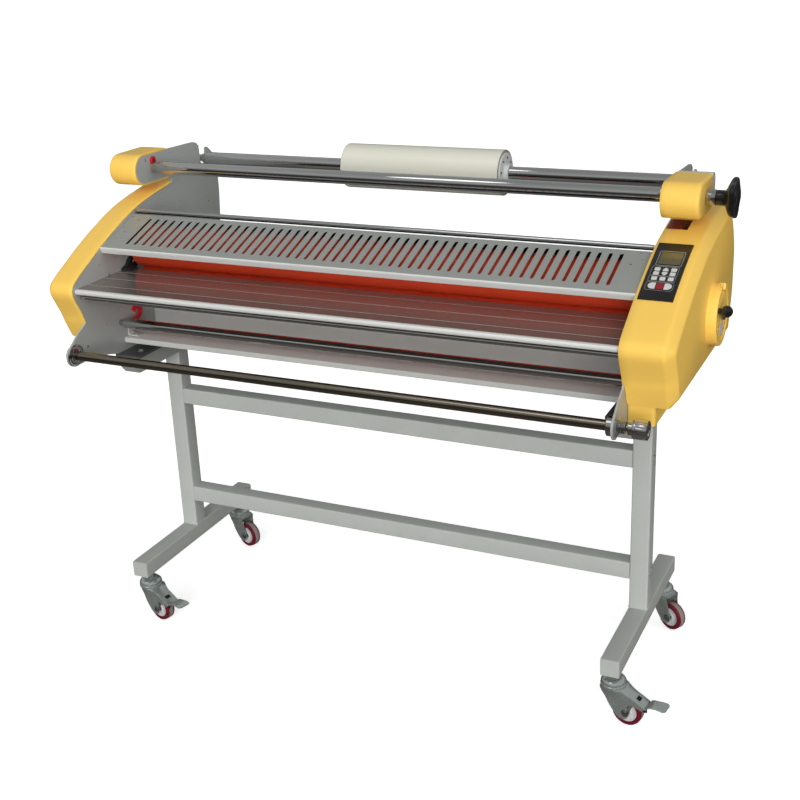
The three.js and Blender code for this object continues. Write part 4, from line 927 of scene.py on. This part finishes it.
# badge without any text on the cover's top, under the head
EDGE2 = smooth(FRONT_EDGE, 4, False)
run2 = [p for p in EDGE2 if 18 < p[0] < 90]
acc2 = [0.0]
for i in range(1, len(run2)):
    acc2.append(acc2[-1] + math.hypot(run2[i][0] - run2[i - 1][0], run2[i][1] - run2[i - 1][1]))


def on_top(x, s, h):
    y, z, ny, nz = slope(s, run2, acc2)
    return (x, y + ny * h, z + nz * h)


g1 = extrude(rrect(749, 786, 3, 60, 2, 4), .1, .8, "z")
g2 = extrude(rrect(786.3, 801, 3, 60, 2, 4), .1, .8, "z")
piece("cover_badge", [(([on_top(*p) for p in g1[0]], g1[1]), "badge"), (([on_top(*p) for p in g2[0]], g2[1]), "panel")], bevel=.2, sharp=40)

# ---------------------------------------------------------------- power inlet and rocker on the back of the left cover
xi0, xi1 = -802, -764
body_ = rrect(xi0, xi1, 1018, 1086, 3)
hole1, hole2 = rrect(-792, -774, 1058, 1080, 1.2), round_corners([(-796, 1023), (-770, 1023), (-770, 1044), (-775, 1050), (-791, 1050), (-796, 1044)], 1.5, 3)
piece("inlet_body", [
    (extrude(body_, 303.6, 311, "y", holes=[hole1, hole2]), "black"),
    (extrude(inset(body_, 1), 301.4, 303.6, "y"), "blackmat"),
    ([extrude(rrect(x - 2.0, x + 2.0, 1036 - 1.0 + d, 1036 + 1.0 + d, .4), 303, 309, "y") for x, d in ((-790, 0), (-776, 0))] +
     [extrude(rrect(-784.0, -782.0, 1040, 1044, .4), 303, 309, "y")], "brass"),
    ([pan((-783, 311, 1053.6), 2.6, 1.2, "y", 1)], "zinc"),
], replaces="power_inlet", bevel=.4)
piece("inlet_rocker", [(extrude(smooth([(305.4, 1060), (305.4, 1078), (309.7, 1078), (310.5, 1069), (313, 1060)], 1), -790, -776), "latch")],
      body="power_rocker", replaces="power_rocker", bevel=.6, seg=3, sharp=30)

# ---------------------------------------------------------------- lift camshaft with its dial, and the lever
prof = [(0, 880), (57.2, 880), (58, 881), (58, 888.6), (57, 890), (55.4, 890.4), (53.8, 891.4), (52.6, 892), (30, 892), (28.6, 891.2), (25.6, 891.2), (24.4, 892), (0, 892)]
cam_c = (CAM_Y + 12.4 * math.cos(rad(-40) + math.pi), CAM_Z + 12.4 * math.sin(rad(-40)))
dialmarks = []
for a in range(200, 341, 20):
    o = [(CAM_Y + r * math.cos(rad(t)), CAM_Z + r * math.sin(rad(t))) for r, t in ((44, a - 1.2), (51, a - 1.0), (51, a + 1.0), (44, a + 1.2))]
    dialmarks.append(extrude(o, 891.8, 892.3))
patch = extrude(round_corners([(CAM_Y - 26, CAM_Z - 46), (CAM_Y + 8, CAM_Z - 50), (CAM_Y + 8, CAM_Z - 14), (CAM_Y - 20, CAM_Z - 18)], 5, 4), 891.6, 892.6)
piece("lift_shaft_dial", [
    (lathe(prof, (CAM_Y, CAM_Z), 96), "yellow"),
    (lathe([(0, -768), (7.4, -768), (8, -767.4), (8, 900.4), (7.4, 901), (0, 901)], (CAM_Y, CAM_Z), 32), "steel"),
    ([lathe([(0, s * 752), (16.4, s * 752), (17, s * 752.6), (17, s * 762.4), (16.4, s * 763), (0, s * 763)], cam_c, 40) for s in (-1, 1)], "steel"),
    (patch, "patch"), (dialmarks, "panel"),
], body="lift_lever", replaces="lift_camshaft", sharp=35)
dy, dz = BALL[1] - CAM_Y, BALL[2] - CAM_Z
LL, LA = math.hypot(dy, dz), math.atan2(dz, dy)


def lp(u, w_):
    return (CAM_Y + u * math.cos(LA) - w_ * math.sin(LA), CAM_Z + u * math.sin(LA) + w_ * math.cos(LA))


bar_o = [lp(12 * math.cos(rad(90 + i * 15)), 12 * math.sin(rad(90 + i * 15))) for i in range(13)] + [lp(LL + 7 * math.cos(rad(-90 + i * 15)), 7 * math.sin(rad(-90 + i * 15))) for i in range(13)]
ball = [(0.0, BALL[0] - 14.5)]
for i in range(1, 24):
    a = math.pi * i / 24
    ball.append((14.5 * math.sin(a), BALL[0] - 14.5 * math.cos(a)))
ball.append((0.0, BALL[0] + 14.5))
piece("lift_hand_lever", [
    (extrude(bar_o, 893.4, 898.4, holes=[circle(CAM_Y, CAM_Z, 8.4, 28)]), "black"),
    (lathe([(0, 897), (5, 897), (5, 899.4), (4, 900.4), (4, 905), (0, 905)], (BALL[1], BALL[2]), 32), "darksteel"),
    (lathe(ball, (BALL[1], BALL[2]), 48), "black"),
    ([pan((898.4, *lp(LL * .45, 0)), 3.4, 2, "x", 1)], "darksteel"),
], body="lift_lever", replaces="lift_lever", bevel=.8, seg=3, sharp=40)

# ---------------------------------------------------------------- drive motor behind the front panel
MC = (28, 937.86)
fins = []
for i in range(9):
    x = -600 - i * 9
    fins.append(lathe([(30, x), (31, x - .5), (31, x - 4.5), (30, x - 5), (26, x - 5), (26, x), (30, x)], MC, 48))
piece("drive_motor_can", [
    (lathe([(0, -590), (27, -590), (29, -592), (29, -686), (33, -690), (34, -692), (34, -743.6), (33, -744.9), (20, -744.9), (20, -739.4), (9, -739.2), (9, -742), (0, -742)][:-2] + [(0, -739.2)], MC, 56), "motor"),
    (fins, "motor"),
    (lathe([(0, -588.6), (12, -588.6), (13, -589.6), (13, -592), (0, -592)][::1], MC, 32), "steel"),
], replaces="drive_motor", sharp=38)

# gears and carriages keep their CAD shape
for n, k in (("drive_gear", "steel"), ("motor_pinion", "darksteel"), ("bearing_carriage_left", "zinc"), ("bearing_carriage_right", "zinc")):
    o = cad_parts[n]
    o.data.materials.clear()
    o.data.materials.append(MAT[k])
    b = o.modifiers.new("edges", "BEVEL")
    b.width, b.segments, b.limit_method, b.angle_limit = .0003, 2, "ANGLE", rad(40)

# ---------------------------------------------------------------- casters
TR, WR = 42, 40
SWIVEL = {"front_left": -14, "front_right": -8, "rear_left": -16, "rear_right": -28}


def caster(end, side, s):
    tag = end + "_" + side
    px, py = s * POST_X, (-225 if end == "front" else 275)
    an = rad(SWIVEL[tag])
    ca, sa = math.cos(an), math.sin(an)
    xf = lambda x, y, z: (px + x * ca - y * sa, py + x * sa + y * ca, z + OZ)      # heights above the floor
    sx_ = lambda p, q, r_: (px + p, py + q, r_ + OZ)
    # stem: washer, nut and threaded stud, fixed to the foot
    wash = [[(r * math.cos(2 * math.pi * i / 40), r * math.sin(2 * math.pi * i / 40), z) for i in range(40)] for r, z in ((12, 126.1), (19.4, 126.2), (20, 126.8), (20, 129), (19.4, 129.5), (12, 129.6))]
    nut = [[(r * math.cos(math.pi / 3 * i + .1), r * math.sin(math.pi / 3 * i + .1), z) for i in range(6)] for r, z in ((10.4, 129.6), (11.9, 130.2), (11.9, 137.4), (10.4, 138))]
    z = 138.0
    prof = [(0, 137.6)]
    while z < 147.2:
        prof += [(8.6, z), (7.9, z + .5)]
        z += 1.0
    prof += [(8.2, 147.7), (0, 147.7)]
    piece("stem_" + tag, [([rows_to_mesh(wash), rows_to_mesh(nut), lathe(prof, (0, 0), 32, "z")], "zinc")], replaces="caster_stem_" + tag, xf=sx_, sharp=35)
    # fork: one pressing. Its sides are lofted from the round crown down to the axle.
    legs = []
    lower = [(-31, 101), (-31.5, 95), (-27, 86), (-15, 71), (-3, 54), (9, 37), (20, 25.5), (28, 20.8), (38, 20.6), (46, 25.6), (50, 34), (49.5, 43), (46.5, 54), (48.5, 62), (56, 66.5), (74, 63.4), (87, 60)]
    upper = [(-31, 102), (-20, 102), (-8, 102), (2, 102), (12, 102), (22, 102), (30, 101), (38, 96.8), (46, 92.6), (54, 88.4), (62, 84.2), (68, 81.1), (74, 78), (79, 75.3), (84, 72.7), (88.6, 70.3), (93, 68)]
    if end == "rear":
        lower = [(-31, 101), (-31.5, 95), (-27, 86), (-15, 71), (-3, 54), (9, 37), (20, 25.5), (28, 20.8), (38, 20.6), (46, 25.6), (50, 34), (49.5, 43), (47.5, 52), (45.4, 60), (42.6, 74), (40, 86), (38.6, 97)]
        upper = [(-31, 102), (-27, 102), (-22, 102), (-17, 102), (-11, 102), (-5, 102), (1, 102), (6, 102), (11, 102), (16, 102), (20, 102), (24, 102), (28, 102), (31, 102), (34, 102), (36.4, 102), (38, 101.6)]
    lo_ = smooth(lower, 3, False)
    up_ = smooth(upper, 3, False)
    for q in (-1, 1):
        rows = []
        for i in range(len(lo_)):
            (xa, za), (xb, zb) = lo_[i], up_[i]
            row_o, row_i = [], []
            for j in range(7):
                t = j / 6
                x_, z_ = xa + (xb - xa) * t, za + (zb - za) * t
                # bulges out to the crown's width near the top
                bulge = max(0.0, (z_ - 70) / 32) ** 1.5 * max(0.0, 1 - max(0.0, x_ - 22) / 30)
                w_ = 21.5 + min(10.5, 10.5 * bulge) * math.sqrt(max(0.0, 1 - min(1.0, abs(min(0, x_)) / 33) ** 2)) - (max(0.0, -x_ - 4) * .28)
                row_o.append((x_, q * w_, z_)); row_i.append((x_, q * (w_ - 2.3), z_))
            rows.append(row_o + list(reversed(row_i)))
        legs.append(rows_to_mesh(rows))
    # crown plate and the slope over the wheel, with a raised window; its near-black pane is painted shade
    top_o = []
    rows = []
    for x_, w_, z_ in ((-31.2, 12, 102), (-26, 20, 102.2), (-14, 29, 102.3), (0, 32, 102.3), (12, 31, 102.3), (22, 27, 102.3), (29, 23.6, 101.9), (36, 21.7, 98.6), (50, 21.4, 91.2), (70, 21.4, 80.7), (86, 21.4, 72.3), (92, 21.4, 69.0), (93.4, 20.6, 67.6)):
        if end == "rear" and x_ > 30:
            x_, z_ = 30 + (x_ - 30) * .126, 102 - (1.6 if x_ > 93 else 0)
        rows.append([(x_, -w_, z_ - 2.6), (x_, -w_, z_ - .9), (x_, -w_ + 1, z_), (x_, w_ - 1, z_), (x_, w_, z_ - .9), (x_, w_, z_ - 2.6)])
    top = rows_to_mesh(rows)
    sl = math.atan2(-33, 64)

    def on_top_(u_, v_, h_):
        return (50 + u_ * math.cos(sl) - h_ * math.sin(sl), v_, 91.2 + u_ * math.sin(sl) + h_ * math.cos(sl))

    g = extrude(rrect(14, 32, -12, 12, 2, 4), -.4, 1.1, "z", holes=[rrect(17, 29, -9, 9, 1.4, 4)])
    frame_ = ([on_top_(*p) for p in g[0]], g[1])
    # near-black pane inside the frame: painted shade
    g = extrude(rrect(16.8, 29.2, -9.2, 9.2, 1.4, 4), -.2, .25, "z")
    window_shade_pane = ([on_top_(*p) for p in g[0]], g[1])
    race = lathe([(0, 101), (31, 101), (33, 101.6), (33.6, 103.2), (33.6, 107.6), (32.8, 109), (31.6, 109.8), (31.6, 111), (32.6, 111.8), (33, 113.4), (32.4, 116.4), (30.2, 120), (26.4, 123.4), (23, 125.2), (20, 125.6), (18.6, 124.6), (14, 124.0), (0, 124.0)], (0, 0), 72, "z")
    bolt = []
    for q in (-1, 1):
        rows = [[(TR + r * math.cos(math.pi / 3 * i), q * y, WR + r * math.sin(math.pi / 3 * i)) for i in range(6)] for r, y in ((7.2, 22.9), (7.7, 23.2), (7.7, 26), (6.7, 26.7))]
        bolt.append(rows_to_mesh(rows))
        rows = [[(TR + r * math.cos(2 * math.pi * i / 28), q * y, WR + r * math.sin(2 * math.pi * i / 28)) for i in range(28)] for r, y in ((9.6, 21.4), (10.2, 21.8), (10.2, 22.6), (9.6, 23))]
        bolt.append(rows_to_mesh(rows))
    axle = [[(TR + 3.9 * math.cos(2 * math.pi * i / 20), y, WR + 3.9 * math.sin(2 * math.pi * i / 20)) for i in range(20)] for y in (-22, 22)]
    extra = [frame_] if end == "front" else []
    piece("fork_" + tag, [(legs + [top, race, rows_to_mesh(axle)] + extra, "zinc"), (bolt, "steel")] + ([(window_shade_pane, "hole")] if extra else []), body="caster_fork_" + tag,
          replaces="caster_fork_" + tag, xf=xf, bevel=.35, seg=2, sharp=42)

    # wheel: polyurethane tyre, paler tread band, moulded hub, bearing
    def spin(profile, n=64):
        rows = [[(TR + r * math.cos(2 * math.pi * i / n), y, WR + r * math.sin(2 * math.pi * i / n)) for i in range(n)] for r, y in profile]
        v, f = rows_to_mesh(rows, True, (False, False))
        a = (len(rows) - 1) * n
        for k in range(n):
            f.append([a + k, a + (k + 1) % n, (k + 1) % n, k])
        return v, f
    tyre = spin([(27, -12.6), (29.4, -14.2), (33, -15), (36.4, -14.4), (38.6, -12.4), (39.6, -9.6), (39.75, -7.4), (39.2, -7.2), (39.2, 7.2), (39.75, 7.4), (39.6, 9.6), (38.6, 12.4), (36.4, 14.4), (33, 15), (29.4, 14.2), (27, 12.6)], 72)
    tread = spin([(38, -7.5), (39.7, -7.4), (39.98, -6.4), (39.98, 6.4), (39.7, 7.4), (38, 7.5)], 72)
    hub_ = spin([(8.2, -12.4), (10, -13.4), (12.4, -13.6), (13.4, -12.8), (14.4, -10.6), (23.4, -10.2), (25, -11.4), (26.2, -13), (27.4, -13.2), (27.6, -12), (27.6, 12), (27.4, 13.2), (26.2, 13), (25, 11.4), (23.4, 10.2), (14.4, 10.6), (13.4, 12.8), (12.4, 13.6), (10, 13.4), (8.2, 12.4)], 56)
    bear = spin([(4.6, -14), (7.8, -14), (8.3, -13.4), (8.3, 13.4), (7.8, 14), (4.6, 14)], 32)
    ribs = []
    for i in range(8):
        a = 2 * math.pi * i / 8
        for q in (-1, 1):
            ribs.append(tube([(TR + r * math.cos(a), q * 10.9, WR + r * math.sin(a)) for r in (14.2, 18, 22, 24.6)], [1.0, .85, .85, 1.0], 8))
    piece("wheel_" + tag, [([tyre], "tyre"), ([tread], "tread"), ([hub_] + ribs, "hub"), ([bear], "steel")], body="caster_wheel_" + tag,
          replaces="caster_wheel_" + tag, xf=xf, sharp=40)
    if end == "front":
        arm_o = round_corners([(50, 74), (50, 80), (55, 83), (94.5, 62.4), (95, 68), (99, 71), (99, 58), (90, 57), (56, 72)], 2, 3)
        arms = []
        for q in (-1, 1):
            g = extrude(arm_o, *sorted((q * 16, q * 18.4)), "y")
            arms.append(g)
        # foot tab: starts at the end of the slope, spreads and rounds off
        rows = []
        for x_, w_, z_ in ((96.3, 20.8, 72.0), (98.6, 21.3, 73.6), (104, 20.6, 76.0), (112, 19.6, 77.4), (120, 19.4, 78.2), (128, 20.4, 78.5), (135, 21.3, 78.0), (140, 21.0, 77.5), (143.6, 19.0, 77.2), (145.8, 16, 77), (146.9, 11.5, 76.9)):
            rows.append([(x_, -w_, z_ - 2.9), (x_, -w_, z_ - 1), (x_, -w_ + 1, z_), (x_, w_ - 1, z_), (x_, w_, z_ - 1), (x_, w_, z_ - 2.9)])
        tab = rows_to_mesh(rows)
        link = lathe([(0, -18), (3.4, -18), (3.4, 18), (0, 18)], (55, 78), 20, "y")
        piece("pedal_" + tag, [([tab], "zinc"), (arms + [link], "darksteel")], body="brake_pedal_" + tag,
              replaces="brake_pedal_" + tag, xf=xf, bevel=.4, seg=2, sharp=40)


for side_, s_ in (("left", -1), ("right", 1)):
    for end_ in ("front", "rear"):
        caster(end_, side_, s_)

# ---------------------------------------------------------------- floor, light, camera
fm = bpy.data.materials.new("floor_pale")
fm.use_nodes = True
nt = fm.node_tree
bs = nt.nodes["Principled BSDF"]
tc = nt.nodes.new("ShaderNodeTexCoord")
nz_ = nt.nodes.new("ShaderNodeTexNoise"); nz_.inputs["Scale"].default_value = 1.4
rp = nt.nodes.new("ShaderNodeValToRGB")
rp.color_ramp.elements[0].color = (.88, .88, .88, 1); rp.color_ramp.elements[1].color = (.92, .92, .92, 1)
nt.links.new(tc.outputs["Object"], nz_.inputs["Vector"]); nt.links.new(nz_.outputs["Fac"], rp.inputs["Fac"]); nt.links.new(rp.outputs["Color"], bs.inputs["Base Color"])
bs.inputs["Roughness"].default_value = .9
nt.links.new(rp.outputs["Color"], bs.inputs["Emission Color"])
bs.inputs["Emission Strength"].default_value = .68
bs.inputs["Specular IOR Level"].default_value = .1
me = bpy.data.meshes.new("floor")
me.from_pydata([(-30, -30, -.0006), (30, -30, -.0006), (30, 30, -.0006), (-30, 30, -.0006)], [], [[0, 1, 2, 3]])
me.materials.append(fm)
floor = bpy.data.objects.new("floor", me)
bpy.context.scene.collection.objects.link(floor)
floor.visible_glossy = False
floor.visible_diffuse = False
# a pale wall far behind the object, on every side: it is only seen, and takes no light away
ring_ = [(r_w * math.cos(2 * math.pi * i / 96), r_w * math.sin(2 * math.pi * i / 96), z_w) for r_w, z_w in ((26, .001), (28.4, .25), (29.5, 1.1), (30, 2.6), (30, 26)) for i in range(96)]
me = bpy.data.meshes.new("backdrop")
me.from_pydata(ring_, [], [[k * 96 + i, k * 96 + (i + 1) % 96, (k + 1) * 96 + (i + 1) % 96, (k + 1) * 96 + i] for k in range(4) for i in range(96)])
me.materials.append(fm)
wall = bpy.data.objects.new("backdrop", me)
bpy.context.scene.collection.objects.link(wall)
wall.visible_glossy = wall.visible_diffuse = wall.visible_shadow = wall.visible_transmission = False

w = bpy.data.worlds.new("studio")
bpy.context.scene.world = w
w.use_nodes = True
nt = w.node_tree
bg = nt.nodes["Background"]
tc = nt.nodes.new("ShaderNodeTexCoord")
sep = nt.nodes.new("ShaderNodeSeparateXYZ")
nt.links.new(tc.outputs["Generated"], sep.inputs["Vector"])
rp = nt.nodes.new("ShaderNodeValToRGB")
el = rp.color_ramp.elements
el[0].position, el[0].color = 0.0, (.11, .10, .09, 1)
el[1].position, el[1].color = 1.0, (.26, .265, .26, 1)
for p_, c_ in ((.34, (.07, .06, .055, 1)), (.46, (.03, .026, .024, 1)), (.52, (.06, .06, .058, 1)), (.60, (.22, .23, .22, 1)), (.70, (.40, .41, .40, 1)), (.80, (.34, .35, .34, 1))):
    e = rp.color_ramp.elements.new(p_)
    e.color = c_
mr = nt.nodes.new("ShaderNodeMapRange")
mr.inputs["From Min"].default_value, mr.inputs["From Max"].default_value = -1, 1
nt.links.new(sep.outputs["Z"], mr.inputs["Value"])
nt.links.new(mr.outputs["Result"], rp.inputs["Fac"])
nt.links.new(rp.outputs["Color"], bg.inputs["Color"])
bg.inputs["Strength"].default_value = 1.0


def sun(name, az, el_, strength, spread, col=(1, 1, 1)):
    """soft light from azimuth az (0 = from the operator's side, + = from the right), elevation el_"""
    l = bpy.data.lights.new(name, "SUN")
    l.energy, l.angle, l.color = strength, rad(spread), col
    o = bpy.data.objects.new(name, l)
    bpy.context.scene.collection.objects.link(o)
    d = Vector((math.sin(rad(az)) * math.cos(rad(el_)), -math.cos(rad(az)) * math.cos(rad(el_)), math.sin(rad(el_))))
    o.location = d * 5
    o.rotation_mode = "QUATERNION"
    o.rotation_quaternion = (-d).to_track_quat("-Z", "Y")
    return o


f_ = sun("front_soft", 16, 11, 3.05, 44)
f_.visible_glossy = False
sun("high_left", -30, 58, .16, 20)
r_ = sun("right_soft", 74, 20, .75, 50)
r_.visible_glossy = False

cam = bpy.data.cameras.new("photo_camera")
co = bpy.data.objects.new("photo_camera", cam)
bpy.context.scene.collection.objects.link(co)
bpy.context.scene.camera = co
A, E, RO = rad(25.45), rad(20.42), rad(-2.33)
back_ = Vector((math.sin(A) * math.cos(E), -math.cos(A) * math.cos(E), math.sin(E)))
fwd = -back_
right = fwd.cross(Vector((0, 0, 1))).normalized()
up = right.cross(fwd)
r2 = right * math.cos(RO) + up * math.sin(RO)
u2 = -right * math.sin(RO) + up * math.cos(RO)
co.matrix_world = Matrix(((r2.x, u2.x, back_.x, 1.39864), (r2.y, u2.y, back_.y, -2.88174), (r2.z, u2.z, back_.z, 1.9664), (0, 0, 0, 1)))
cam.sensor_width = 36
cam.lens = 1257.14 * 36 / 800
cam.shift_x = -8.36 / 800
cam.shift_y = -20.11 / 800
cam.clip_start, cam.clip_end = .05, 100
cam.dof.use_dof = False
vs = bpy.context.scene.view_settings
vs.view_transform = "Standard"
vs.look = "None"
vs.exposure = 0
vs.gamma = 1
